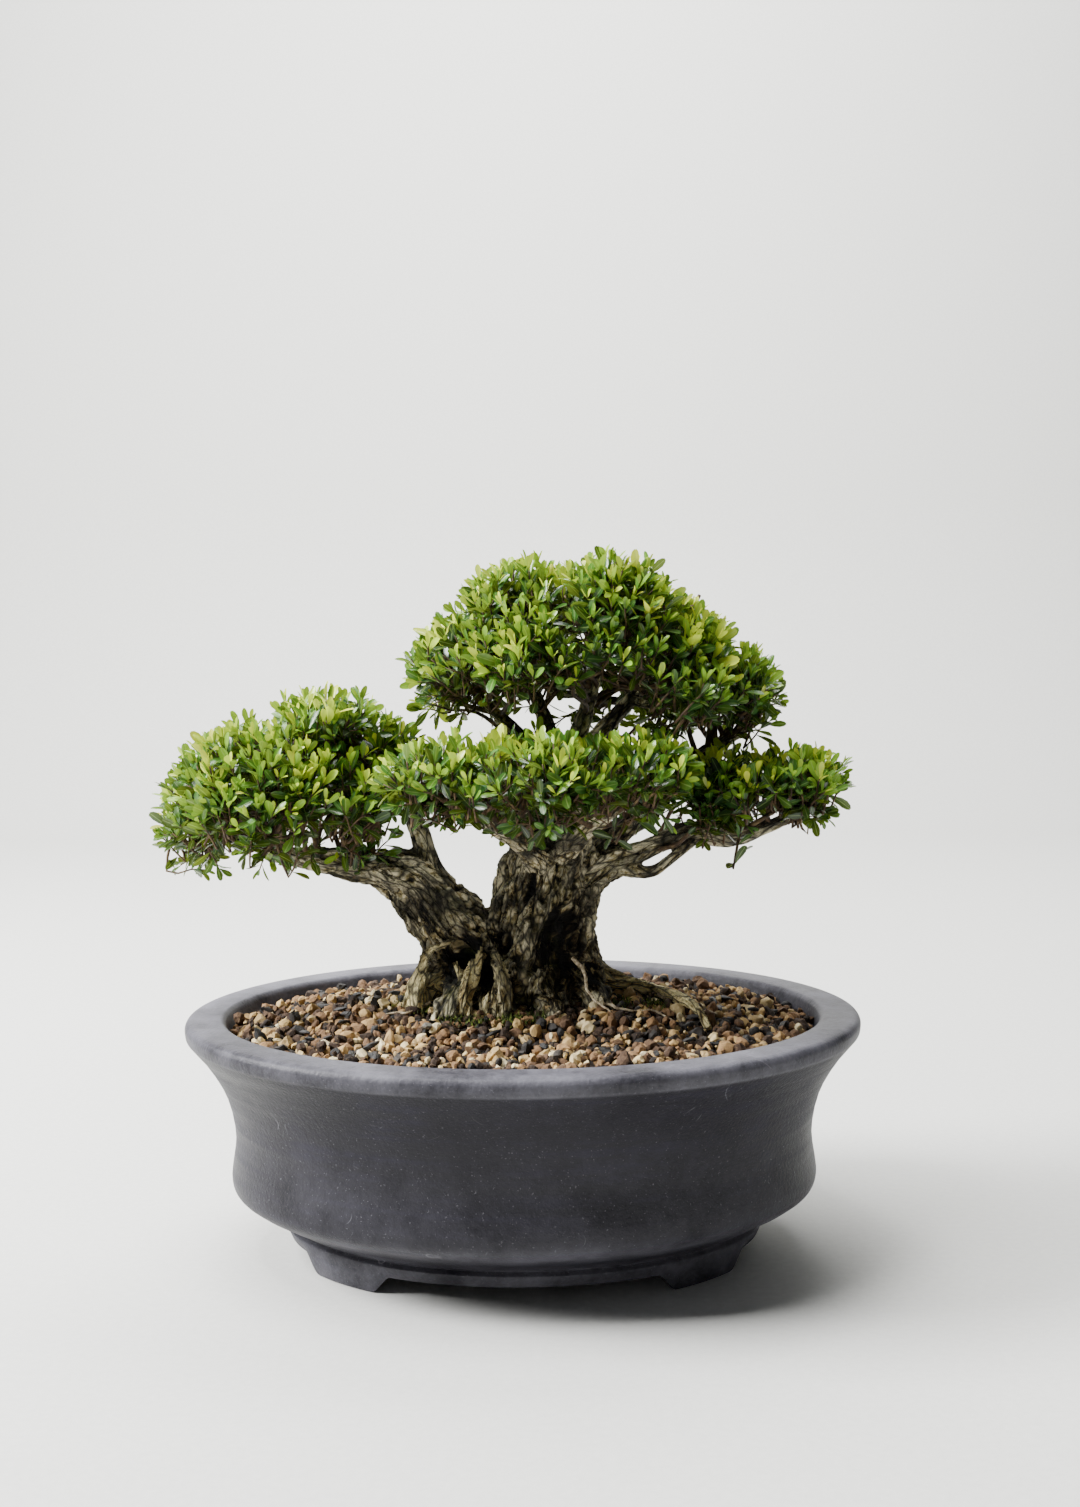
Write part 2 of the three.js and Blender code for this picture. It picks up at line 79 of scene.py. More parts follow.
def add(material, kind, values=(), links=(), stops=(), **settings):
    """Adds a node with its settings, the values on its sockets, the links into them and a ramp's stops."""
    node = material.node_tree.nodes.new(kind)
    for name, value in settings.items():
        setattr(node, name, value)
    for socket, value in dict(values).items():
        node.inputs[socket].default_value = value
    for socket, source in dict(links).items():
        material.node_tree.links.new(source, node.inputs[socket])
    for i, (place, value) in enumerate(stops):
        elements = node.color_ramp.elements
        element = elements[i] if i < 2 else elements.new(place)
        element.position = place
        element.color = linear(value) if isinstance(value, str) else (value, value, value, 1.0)
    return node


def new_material(name, **values):
    """An empty material with its main shader joined to its output. Spaces in socket names are underscores."""
    material = bpy.data.materials.new(name)
    material.use_nodes = True
    shader = material.node_tree.nodes["Principled BSDF"]
    for socket, value in values.items():
        shader.inputs[socket.replace("_", " ")].default_value = value
    return material, shader


def join_up(material, source, shader, socket):
    material.node_tree.links.new(source, shader.inputs[socket])


def in_metres(points):
    return np.asarray(points, float) * MM + FOOT_MIDDLE


def new_mesh(name, points, quads=(), triangles=()):
    """A mesh from points in millimetres, with faces of four and of three corners."""
    quads = np.asarray(quads, np.int32).reshape(-1, 4)
    triangles = np.asarray(triangles, np.int32).reshape(-1, 3)
    mesh = bpy.data.meshes.new(name)
    mesh.vertices.add(len(points))
    mesh.vertices.foreach_set("co", in_metres(points).astype(np.float32).ravel())
    mesh.loops.add(quads.size + triangles.size)
    mesh.loops.foreach_set("vertex_index", np.concatenate([quads.ravel(), triangles.ravel()]))
    mesh.polygons.add(len(quads) + len(triangles))
    ends = quads.size + 3 * np.arange(len(triangles))
    mesh.polygons.foreach_set("loop_start", np.concatenate([4 * np.arange(len(quads)), ends]).astype(np.int32))
    mesh.update(calc_edges=True)
    return mesh


def new_piece(name, mesh, material, replaced=(), smooth=True):
    """Shows a mesh as a piece of the tree, on its one body."""
    mesh.polygons.foreach_set("use_smooth", np.full(len(mesh.polygons), smooth))
    piece = bpy.data.objects.new(name, mesh)
    bpy.context.scene.collection.objects.link(piece)
    mesh.materials.append(material)
    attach(piece, BODY)
    if replaced:
        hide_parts(*replaced)
    triangles = sum(len(face.vertices) - 2 for face in mesh.polygons)
    print(f"{name}: {triangles} triangles")
    return piece


def paint(mesh, name, values):
    """Stores a number, or a group of three, on each point of a mesh for its material to read."""
    values = np.asarray(values, np.float32)
    kind, field = ("FLOAT_VECTOR", "vector") if values.ndim == 2 else ("FLOAT", "value")
    mesh.attributes.new(name, kind, "POINT").data.foreach_set(field, values.ravel())


# %% [markdown]
# ## Camera, light and room
# The photograph was taken from a little above the rim, about 73 cm from the pot, with a lens that sees
# about as much as a 39 mm lens on a full-frame camera. The camera leans forward by 4 degrees and is turned by
# half a degree. Soft daylight comes from a window on the left, so one large lamp stands there. A weaker one
# stands for the ceiling, one washes the wall behind, and a pale sky keeps the shaded side readable.

# %% Camera
CAMERA_PLACE = [8.6, -731, 271]
CAMERA_DOWN = 3.93  # degrees below level
CAMERA_TURN = -0.5  # degrees about the line of sight

camera = bpy.data.objects.new("camera", bpy.data.cameras.new("camera"))
camera.data.sensor_width = 36
camera.data.lens = 39.42
camera.data.clip_start = 0.01
camera.matrix_world = (
    Matrix.Translation(in_metres(CAMERA_PLACE))
    @ Matrix.Rotation(math.radians(90 - CAMERA_DOWN), 4, "X")
    @ Matrix.Rotation(math.radians(CAMERA_TURN), 4, "Z")
)
bpy.context.scene.collection.objects.link(camera)
bpy.context.scene.camera = camera
print("camera at", [round(v, 3) for v in camera.location])

# %% Lamps and sky


def soft_lamp(name, place, size, power, aim=(0, 0, 0.15)):
    """A square white lamp that faces a point, or else the middle of the tree."""
    lamp = bpy.data.objects.new(name, bpy.data.lights.new(name, "AREA"))
    lamp.data.size = size
    lamp.data.energy = power
    lamp.location = place
    lamp.rotation_euler = (Vector(aim) - lamp.location).to_track_quat("-Z", "Y").to_euler()
    bpy.context.scene.collection.objects.link(lamp)


soft_lamp("window", (-1.6, -0.14, 1.2), 0.8, 144)
soft_lamp("ceiling", (-0.35, -0.15, 1.7), 0.7, 38)
soft_lamp("wall_wash", (0.0, 0.8, 1.9), 1.2, 84, aim=(0.0, 2.0, 0.6))

sky = bpy.data.worlds.new("room")
sky.use_nodes = True
sky.node_tree.nodes["Background"].inputs["Color"].default_value = linear("#dfe2e6")
sky.node_tree.nodes["Background"].inputs["Strength"].default_value = 0.14
bpy.context.scene.world = sky
print("three lamps and a pale sky")

# %% [markdown]
# Floor and wall are one sheet of matte paper that bends up behind the tree, as in a photographer's studio, so
# no hard line crosses the picture. The sheet is a strip with a quarter-round bend, and it starts just behind
# the camera. To the eye the paper is an even pale grey, and a faint grain of about a millimetre keeps it from
# looking like an empty page.

# %% Floor and wall
paper, paper_shader = new_material("matte_studio_paper", Roughness=0.9)
paper_grain = add(paper, "ShaderNodeTexNoise", {"Scale": 900.0, "Detail": 3.0})
paper_tone = add(
    paper, "ShaderNodeValToRGB", links={"Fac": paper_grain.outputs["Fac"]},
    stops=[(0.3, "#d2d2ce"), (0.7, "#d8d8d4")],
)
join_up(paper, paper_tone.outputs["Color"], paper_shader, "Base Color")

SHEET_FRONT, SHEET_BACK, SHEET_TOP, SHEET_SIDE, BEND = -0.8, 2.0, 3.0, 1.6, 0.5  # metres
turn = np.linspace(0, math.pi / 2, 25)
bend = np.column_stack([SHEET_BACK - BEND + BEND * np.sin(turn), BEND - BEND * np.cos(turn)])
strip = [(SHEET_FRONT, 0.0), *bend, (SHEET_BACK, SHEET_TOP)]
strip_points = [[side, y, z] for y, z in strip for side in (-SHEET_SIDE, SHEET_SIDE)]
strip_quads = [[2 * i, 2 * i + 1, 2 * i + 3, 2 * i + 2] for i in range(len(strip) - 1)]
room = bpy.data.objects.new(
    "floor_and_wall", new_mesh("floor_and_wall", np.array(strip_points) / MM, strip_quads)
)
room.data.polygons.foreach_set("use_smooth", np.ones(len(room.data.polygons), bool))
room.data.materials.append(paper)
bpy.context.scene.collection.objects.link(room)
print("floor and wall:", len(room.data.polygons), "faces")

# %% [markdown]
# ## The pot
# The pot is stoneware, thrown or pressed by hand and fired without a glaze: a wide lip with a rounded edge, a
# waisted wall, a belly that ends in a sharp lower corner, and a low band cut away into four feet. A
# lathe-like loft suits it, because every level section is an oval that lies inset from the widest one.
# Its outline is drawn as a fine line, softened by about a millimetre as wet clay is by a sponge, and then
# thinned out again where it runs straight. Between the feet the lower edge of the band is lifted, so the
# feet and the wall stay one clean sheet of faces.

# %% The pot's measures
HALF_WIDTH, HALF_DEPTH, RIM = 150.0, 120.0, 106.0
BELLY = [
    (26, 26), (20.6, 30.5), (19.3, 35), (21.4, 54), (17.6, 73), (9.4, 88), (3, 96), (0.4, 99),
]
LIP = [(0, 103), (1.2, 105.2), (3.6, RIM), (16.2, RIM), (18, 104.2)]
INSIDE = [(21, 94), (29, 62), (29.5, 38), (37, 22)]
BAND = [(54, 9), (56, 0), (45, 0), (42.6, 13.2), (45.2, 14.6)]
BAND_TOP, FLOOR_UNDERSIDE, FLOOR_TOP, BAND_MIDDLE = 13.2, 9.0, 22.0, 50.0
FOOT_HEIGHT, FOOT_SLOPE, FRONT_GAP, SIDE_GAP = 7.6, 7.0, 63.0, 40.0
DRAIN_RADIUS, DRAIN_OFFSET = 10.0, 52.0
DRILL_ENDS = (4.0, 27.0)  # below and above the pot's floor
CLAY_SOFTNESS = 0.8  # the rounding of every edge
print("pot of", 2 * HALF_WIDTH, "by", 2 * HALF_DEPTH, "by", RIM, "mm")


# %% Lines
def run_along(line):
    """How far each point of a line lies along it."""
    return np.concatenate([[0], np.cumsum(np.linalg.norm(np.diff(line, axis=0), axis=1))])


def smooth_line(path, count):
    """Evenly spaced points on the smooth curve through the points of a path."""
    path = np.asarray(path, float)
    path = np.vstack([2 * path[0] - path[1], path, 2 * path[-1] - path[-2]])
    knots = np.concatenate([[0], np.cumsum(np.linalg.norm(np.diff(path, axis=0), axis=1) ** 0.5)])
    pieces = []
    for i in range(1, len(path) - 2):
        k = knots[i - 1 : i + 3]
        p = path[i - 1 : i + 3]
        t = np.linspace(k[1], k[2], 16)[:, None]
        a = [((k[j + 1] - t) * p[j] + (t - k[j]) * p[j + 1]) / (k[j + 1] - k[j]) for j in range(3)]
        b = [((k[j + 2] - t) * a[j] + (t - k[j]) * a[j + 1]) / (k[j + 2] - k[j]) for j in range(2)]
        pieces.append(((k[2] - t) * b[0] + (t - k[1]) * b[1]) / (k[2] - k[1]))
    dense = np.vstack(pieces)
    run = run_along(dense)
    places = np.linspace(0, run[-1], count)
    return np.column_stack([np.interp(places, run, column) for column in dense.T])


def softened(line, step, softness):
    """Points every step along a broken line, with its corners rounded."""
    line = np.asarray(line, float)
    run = run_along(line)
    places = np.linspace(0, run[-1], int(run[-1] / step))
    fine = np.column_stack([np.interp(places, run, column) for column in line.T])
    reach = int(3 * softness / step)
    weights = np.exp(-0.5 * (np.arange(-reach, reach + 1) * step / softness) ** 2)
    weights /= weights.sum()
    padded = np.vstack([fine[:1]] * reach + [fine] + [fine[-1:]] * reach)
    return np.column_stack([np.convolve(column, weights, "valid") for column in padded.T])


def thinned(line, most_turn, most_run):
    """Keeps a point of a fine line only where it has turned or run on enough since the last."""
    steps = np.diff(line, axis=0)
    headings = np.unwrap(np.arctan2(steps[:, 1], steps[:, 0]))
    kept = [0]
    for i in range(1, len(line) - 1):
        turned = abs(headings[i] - headings[kept[-1]])
        if turned > most_turn or np.linalg.norm(line[i] - line[kept[-1]]) > most_run:
            kept.append(i)
    return line[kept + [len(line) - 1]]


# %% The pot's outline and its angles
belly = smooth_line(BELLY, 120)
inside = smooth_line(INSIDE, 80)
outline = thinned(softened(np.vstack([BAND, belly, LIP, inside]), 0.3, CLAY_SOFTNESS), math.radians(7), 7.0)
close_angles = np.concatenate([np.arange(24, 40, 0.8), np.arange(47, 59.5, 0.8)])
quarter = np.unique(np.round(np.concatenate([np.arange(0, 90, 2.0), close_angles]), 3))
mirrored = quarter[::-1][:-1]
angles = np.radians(np.concatenate([quarter, 180 - mirrored, 180 + quarter, 360 - mirrored]))
angles = np.unique(np.round(angles % (2 * math.pi), 6))
print("outline of", len(outline), "points, in", len(angles), "directions")


# %% The pot's loft
def oval(inset, angle):
    return (HALF_WIDTH - inset) * np.cos(angle), (HALF_DEPTH - inset) * np.sin(angle)


def foot_lift(x, y):
    """How far the band's lower edge is lifted at a place: nothing under the feet, all of it between them."""
    share = np.maximum((FRONT_GAP - np.abs(x)) / FOOT_SLOPE, (SIDE_GAP - np.abs(y)) / FOOT_SLOPE)
    share = np.clip(share, 0, 1)
    return FOOT_HEIGHT * (0.5 * share + 0.5 * share * share * (3 - 2 * share))


def closed_loft(rings, first_middle, last_middle):
    """Points, quads and triangles of a skin over rings of points, closed by a fan at each end."""
    rows, count = len(rings), len(rings[0])
    points = np.vstack([*rings, [first_middle, last_middle]])
    i = np.arange(count)
    after = (i + 1) % count
    quads = np.vstack(
        [np.column_stack([r * count + i, r * count + after, (r + 1) * count + after, (r + 1) * count + i])
         for r in range(rows - 1)]
    )
    start = (rows - 1) * count
    first = np.column_stack([np.full(count, rows * count), after, i])
    last = np.column_stack([np.full(count, rows * count + 1), start + i, start + after])
    return points, quads, np.vstack([first, last])


pot_rings = []
for inset, z in outline:
    x, y = oval(inset, angles)
    height = np.full_like(x, z)
    if z < BAND_TOP and inset > BAND[3][0] - 1:
        top = BAND_TOP if inset < BAND_MIDDLE else FLOOR_UNDERSIDE
        lift = foot_lift(x, y)
        height = np.where(height < top, lift + height * (top - lift) / top, height)
    pot_rings.append(np.column_stack([x, y, height]))
inner_rings, under_rings = [
    [np.column_stack([*oval(inset, angles), np.full(len(angles), height)]) for inset in insets]
    for height, insets in ((FLOOR_TOP, (60, 90)), (FLOOR_UNDERSIDE, (90, 70)))
]
pot_rings = under_rings + pot_rings + inner_rings
points, quads, triangles = closed_loft(pot_rings, (0, 0, FLOOR_UNDERSIDE), (0, 0, FLOOR_TOP))
pot_mesh = new_mesh("pot", points, quads, triangles)
pot_mesh.flip_normals()
print("pot loft:", len(pot_mesh.polygons), "faces")

# %% [markdown]
# ### Unglazed stoneware
# Stoneware fired without a glaze is dense and matte, and this dark clay has come out a blackish grey. Iron in
# it leaves fine dark and light specks, a wet sponge leaves faint level streaks, use leaves a few hairline
# scratches, and lime from watering leaves a pale bloom round the feet and on the corner of the belly. The pale
# tone on the lip is partly that bloom and partly a painted highlight on the lit lip, cut off sharply at the
# lip's lower edge so that the flare below, in the lip's shade, stays dark. To the eye it is matte with a soft
# sheen and never quite even. Specks are about 0.7 mm, and the streaks about 4 mm high.

# %% Stoneware patterns
stoneware, shader = new_material("unglazed_stoneware", IOR=1.36)
shader.inputs["Specular IOR Level"].default_value = 0.3  # its open pores swallow part of the shine
place = add(stoneware, "ShaderNodeTexCoord").outputs["Object"]
level = add(stoneware, "ShaderNodeMapping", {"Scale": (9, 9, 240)}, {"Vector": place}).outputs[0]
# Scale, detail and roughness of each noise, and the places that it follows.
streaks, clouds, specks, sand, wander, worn = [
    add(stoneware, "ShaderNodeTexNoise", {"Scale": scale, "Detail": detail, "Roughness": roughness},
        {"Vector": vector}).outputs["Fac"]
    for scale, detail, roughness, vector in (
        (1.0, 4.0, 0.6, level), (26.0, 7.0, 0.74, place), (1100.0, 2.0, 0.5, place),
        (620.0, 3.0, 0.65, place), (34.0, 1.0, 0.5, place), (70.0, 2.0, 0.5, place),
    )
]
grit = add(stoneware, "ShaderNodeTexVoronoi", {"Scale": 420.0}, {"Vector": place}).outputs["Distance"]
both = add(stoneware, "ShaderNodeMath", links={0: streaks, 1: clouds}, operation="MULTIPLY").outputs[0]
centred = add(stoneware, "ShaderNodeMath", {1: 0.5}, {0: wander}, operation="SUBTRACT").outputs[0]
off_line = add(stoneware, "ShaderNodeMath", links={0: centred}, operation="ABSOLUTE").outputs[0]
axes = add(stoneware, "ShaderNodeSeparateXYZ", links={"Vector": place}).outputs
share_up = add(stoneware, "ShaderNodeMath", {1: RIM * MM}, {0: axes["Z"]}, operation="DIVIDE").outputs[0]
print("patterns of the clay:", len(stoneware.node_tree.nodes), "nodes")

# %% Stoneware colour, sheen and relief
# Height in mm and share of the pale tone. Round the feet and on the belly's corner it is lime bloom. On the lip
# it is partly bloom and partly a painted highlight, which stops sharply at the lip's lower edge so that the
# shaded flare below stays dark.
BLOOM_AND_LIP_HIGHLIGHT_BY_HEIGHT = [
    (0, 0.5), (12, 0.3), (20, 0.08), (26.5, 0.3), (34, 0.12), (80, 0.03), (97.6, 0.03), (98.8, 0.34),
    (103, 0.36), (RIM, 0.6),
]
clay, pale_speck, dark_speck, bloom_and_lip_highlight_height, bloom_patch, hairline, worn_here, dullness = [
    add(stoneware, "ShaderNodeValToRGB", links={"Fac": pattern}, stops=stops).outputs["Color"]
    for pattern, stops in (
        (both, [(0.1, "#0a0910"), (0.25, "#110f17"), (0.42, "#1a1825")]),
        (specks, [(0.66, 0.0), (0.74, 0.5)]),
        (grit, [(0.08, 0.6), (0.16, 0.0)]),
        (share_up, [(z / RIM, value) for z, value in BLOOM_AND_LIP_HIGHLIGHT_BY_HEIGHT]),
        (clouds, [(0.36, 0.2), (0.62, 1.0)]),
        (off_line, [(0.001, 1.0), (0.004, 0.0)]),
        (worn, [(0.6, 0.0), (0.68, 0.3)]),
        (both, [(0.15, 0.42), (0.35, 0.56)]),
    )
]
bloom_and_lip_highlight, scratch = [
    add(stoneware, "ShaderNodeMath", links={0: pattern, 1: where}, operation="MULTIPLY").outputs[0]
    for pattern, where in ((bloom_and_lip_highlight_height, bloom_patch), (hairline, worn_here))
]
colour = clay
# The pale tone #82818a is lime bloom, and on the lip it is also a painted highlight.
for share, tone in ((pale_speck, "#66646b"), (dark_speck, "#0c0b0e"), (bloom_and_lip_highlight, "#82818a"), (scratch, "#94929a")):
    colour = add(stoneware, "ShaderNodeMix", {SECOND: linear(tone)}, {FACTOR: share, FIRST: colour},
                 data_type="RGBA").outputs[MIXED]
join_up(stoneware, colour, shader, "Base Color")
join_up(stoneware, dullness, shader, "Roughness")
relief = add(stoneware, "ShaderNodeMath", {1: 0.35}, {0: streaks, 2: sand}, operation="MULTIPLY_ADD").outputs[0]
bump = add(stoneware, "ShaderNodeBump", {"Strength": 0.6, "Distance": 0.0005}, {"Height": relief})
join_up(stoneware, bump.outputs[0], shader, "Normal")
print("stoneware:", len(stoneware.node_tree.nodes), "nodes")


# %% The drain holes, and the finished pot
def applied(piece):
    """Turns a piece's modifiers into plain mesh."""
    seen = piece.evaluated_get(bpy.context.evaluated_depsgraph_get())
    mesh = bpy.data.meshes.new_from_object(seen)
    piece.modifiers.clear()
    piece.data = mesh
    return mesh


pot = new_piece("stoneware_pot", pot_mesh, stoneware, ["pot"])
turn = np.linspace(0, 2 * math.pi, 48, endpoint=False)
for side in (-1, 1):
    circle = np.column_stack([DRAIN_RADIUS * np.cos(turn) + side * DRAIN_OFFSET, DRAIN_RADIUS * np.sin(turn)])
    rings = [np.column_stack([circle, np.full(len(turn), z)]) for z in DRILL_ENDS]
    ends = [(side * DRAIN_OFFSET, 0, z) for z in DRILL_ENDS]
    drill = bpy.data.objects.new("drill", new_mesh("drill", *closed_loft(rings, *ends)))
    bpy.context.scene.collection.objects.link(drill)
    cut = pot.modifiers.new("drain_hole", "BOOLEAN")
    cut.operation, cut.object, cut.solver = "DIFFERENCE", drill, "EXACT"
    applied(pot)
    bpy.data.objects.remove(drill)
print("pot:", len(pot.data.polygons), "faces,", [round(v * 1000, 1) for v in pot.dimensions], "mm")

# %% [markdown]
# ## The drain screens
# Two squares of black plastic net keep the soil off the drain holes. Their plain solids have the right
# shape, so they stay and only get the finish of moulded polyethylene: near black, a little waxy, with a fine
# orange-peel texture of about half a millimetre.


# %% Plastic net
def flecked_material(name, fleck_size, detail, tones, strength, depth, **values):
    """A finish whose tone and relief follow the same fine flecks. Their size and depth are in millimetres."""
    material, shader = new_material(name, **values)
    place = add(material, "ShaderNodeTexCoord").outputs["Object"]
    fleck = add(material, "ShaderNodeTexNoise", {"Scale": 1 / (fleck_size * MM), "Detail": detail},
                {"Vector": place}).outputs["Fac"]
    tone = add(material, "ShaderNodeValToRGB", links={"Fac": fleck}, stops=tones)
    join_up(material, tone.outputs["Color"], shader, "Base Color")
    bump = add(material, "ShaderNodeBump", {"Strength": strength, "Distance": depth * MM}, {"Height": fleck})
    join_up(material, bump.outputs[0], shader, "Normal")
    return material, shader, fleck


plastic, shader, peel = flecked_material(
    "moulded_polyethylene", 0.5556, 2.0, [(0.3, "#18181a"), (0.7, "#2a2a2d")], 0.3, 0.2, IOR=1.51,
)
waxiness = add(plastic, "ShaderNodeValToRGB", links={"Fac": peel}, stops=[(0.3, 0.42), (0.7, 0.56)])
join_up(plastic, waxiness.outputs["Color"], shader, "Roughness")
for node in ("drain_screen_left", "drain_screen_right"):
    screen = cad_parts[node]
    screen.data.materials.clear()
    screen.data.materials.append(plastic)
print("plastic net on both drain screens")

# %% [markdown]
# ## The wood
# The trunk, its surface roots and its limbs are one piece of wood. Old boxwood grows in ropes: ridges as thick
# as a pencil that run up from the roots, part, and meet again, with deep dark grooves between them. The
# bark over them is a crust of small corky plates, drawn out along the limb.
#
# It could be carved from one block, but ropes are easier to lay than to carve. So each limb is a tapered
# tube along a smooth line, with thinner wavy tubes laid round it. A voxel remesh melts all the tubes into
# one skin. Then every point of that skin is moved in or out by a noise that is stretched along its own limb.
# Where each point lies on its limb is also stored for the bark's material, so colour and form agree.

# %% The lines of the limbs
# Each limb: the points that it passes, and its radius at even steps along it.
TRUNK = (
    [(2, 4, 78), (2, 3, 104), (6, 2, 126), (9, 2, 150), (15, 4, 178), (19, 7, 204), (22, 8, 228)],
    [24, 30, 26.5, 22, 18.5, 14.5, 8],
)
LEFT_LIMB = (
    [(-8, 0, 108), (-22, -2, 130), (-35, -3, 148), (-48, -3, 164), (-64, -4, 171), (-86, -5, 174),
     (-112, -6, 178)],
    [20, 17.5, 15, 12, 7.5, 5, 3.2],
)
LEFT_FORK = ([(-38, -2, 156), (-43, 0, 177), (-48, 2, 192), (-60, 4, 210)], [9, 5.6, 4.4, 2.6])
LEFT_TIP = ([(-100, -6, 176), (-118, -8, 184), (-134, -10, 191)], [4, 3, 1.8])
RIGHT_LIMB = (
    [(12, 0, 146), (33, -2, 168), (53, -3, 177), (75, -5, 185.5), (92, -6, 184), (112, -6, 189),
     (124, -6, 196)],
    [13, 8, 5.8, 4.2, 4.4, 3, 1.8],
)
RIGHT_STRAND = ([(44, -4, 170), (57, -7, 168.5), (68, -8, 176), (80, -6, 185)], [4, 2.8, 2.4, 2.2])
CROWN_RIGHT = (
    [(20, 6, 158), (36, 6, 178), (53, 8, 192), (73, 9, 212), (96, 8, 228), (108, 6, 236)],
    [9, 6.4, 5.4, 4.4, 2.8, 1.8],
)
LEADERS = [
    ([(16, 6, 200), (4, 5, 222), (-10, 2, 238), (-22, 0, 250)], [8, 4.8, 3.4, 2]),
    ([(17, 8, 206), (12, 10, 232), (4, 13, 252), (-4, 16, 264)], [7, 4.4, 3.2, 2]),
    ([(19, 6, 210), (28, 0, 236), (34, -4, 256), (38, -6, 268)], [7, 4.6, 3.2, 2]),
    ([(21, 8, 210), (40, 8, 234), (58, 9, 252), (70, 9, 262)], [7, 4.4, 3.2, 2]),
    ([(18, 10, 200), (24, 24, 224), (34, 32, 244)], [7, 4, 2.2]),
]
FRONT_LIMBS = [
    ([(10, -8, 172), (0, -28, 184), (-14, -44, 194)], [8, 4.6, 2.6]),
    ([(16, -6, 176), (26, -28, 187), (38, -42, 198)], [8, 4.6, 2.6]),
]
BACK_LIMB = ([(10, 12, 160), (4, 34, 174), (0, 54, 184)], [9, 5, 2.8])
ROOTS = [
    ([(-20, -4, 128), (-38, -8, 122), (-46, -12, 111), (-50, -15, 96)], [13, 8.5, 6.4, 5]),
    ([(-18, -12, 124), (-29, -24, 116), (-34, -33, 106), (-37, -38, 92)], [11, 6.4, 5.2, 4]),
    ([(-6, -16, 124), (-12, -28, 113), (-15, -36, 98)], [11, 6, 4.6]),
    ([(8, -14, 122), (12, -27, 111), (14, -35, 96)], [12, 6.6, 5]),
    ([(22, -8, 122), (32, -17, 111), (37, -24, 96)], [12, 6.6, 5]),
    ([(22, 2, 128), (38, 3, 118.5), (51, 3, 115.8), (61, -3, 114.2), (69, -13, 113.2), (75, -25, 111.5),
      (80, -34, 104)], [13, 5.4, 3.3, 2.6, 2.3, 2, 1.6]),
    ([(16, 16, 122), (26, 30, 110), (32, 38, 94)], [12, 6.2, 4.6]),
    ([(-12, 16, 122), (-20, 30, 110), (-26, 39, 94)], [12, 6.4, 4.8]),
]
# Thinner roots that run down over the flare, pale against the dark wood.
STRAPS = [
    ([(-15.5, -14.5, 143), (-17, -17.5, 138.5), (-18.8, -20, 133.7), (-20.5, -23.5, 129), (-22.5, -27.5, 124),
      (-24.5, -31, 117), (-25.5, -34, 107)], [1.8, 2.6, 3, 3, 2.9, 2.8, 2.6]),
    ([(-26, -17.5, 142.5), (-33, -19, 139.5), (-38, -17, 137), (-41.7, -12.5, 132), (-44, -13.5, 127),
      (-45.3, -17, 121.5), (-45.8, -20, 116), (-45.5, -23, 106)], [1.3, 1.6, 1.8, 2.2, 2.8, 3.2, 3, 2.6]),
    ([(-12.3, -17, 136), (-11, -22.3, 132.4), (-9.2, -27, 128.8), (-7.5, -31, 122.5), (-7.5, -34, 110)],
     [1.6, 2.6, 3, 3, 2.6]),
    ([(-29, -19.5, 131.5), (-26.8, -23, 127.3), (-24.7, -27, 122)], [1.2, 1.7, 1.4]),
]
PAD_LIMBS = {
    "crown": [*LEADERS, CROWN_RIGHT],
    "left": [LEFT_LIMB, LEFT_FORK, LEFT_TIP],
    "front": FRONT_LIMBS,
    "right": [RIGHT_LIMB],
    "back": [BACK_LIMB],
}
LIMBS = [
    TRUNK, LEFT_LIMB, LEFT_FORK, LEFT_TIP, RIGHT_LIMB, RIGHT_STRAND, CROWN_RIGHT, BACK_LIMB,
    *LEADERS, *FRONT_LIMBS, *ROOTS, *STRAPS,
]
print(len(LIMBS), "limbs and roots")

# %% [markdown]
# Each spray of leaves hangs on a twig that leaves the nearest limb below it. Its place comes from the packed
# model: the middle and the half-size of the spray's box.


# %% Sprays and their twigs
def spray_boxes(pad):
    """The middles and half-sizes of one pad's sprays, in millimetres from the pot's foot."""
    corners = [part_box(node) for node in SPRAYS if node.startswith(pad)]
    low = np.array([list(low) for low, high in corners])
    high = np.array([list(high) for low, high in corners])
    return ((low + high) / 2 - FOOT_MIDDLE) / MM, (high - low) / 2 / MM


def twig_to(middle, limbs):
    """A twig from the nearest point of the limbs that lies below a spray's middle."""
    starts = np.vstack([smooth_line(path, 25)[6:] for path, _ in limbs])
    starts = starts[starts[:, 2] < middle[2] - 4]
    start = starts[np.argmin(np.linalg.norm(starts - middle, axis=1))]
    bend = start + 0.55 * (middle - start)
    bend[2] -= 0.12 * np.linalg.norm(middle - start)
    return [start, bend, middle], [2.6, 2.1, 1.5]


HUBS = {pad: spray_boxes(pad)[0] for pad in PAD_LIMBS}
for pad, limbs in PAD_LIMBS.items():
    LIMBS += [twig_to(hub, limbs) for hub in HUBS[pad]]
print("with twigs:", len(LIMBS), "limbs")


# %% Tubes
def unit(vectors):
    return vectors / np.maximum(np.linalg.norm(vectors, axis=-1, keepdims=True), 1e-9)


def frames_along(line):
    """At each point of a line: its heading, and two directions across it that don't twist."""
    heading = unit(np.gradient(line, axis=0))
    start = np.array([1.0, 0, 0]) if abs(heading[0][0]) < 0.8 else np.array([0, 1.0, 0])
    side = [start]
    for way in heading:
        side.append(unit(side[-1] - way * (side[-1] @ way)))
    side = np.array(side[1:])
    return heading, side, np.cross(heading, side)


def radii_along(radii, count):
    return np.interp(np.linspace(0, 1, count), np.linspace(0, 1, len(radii)), radii)


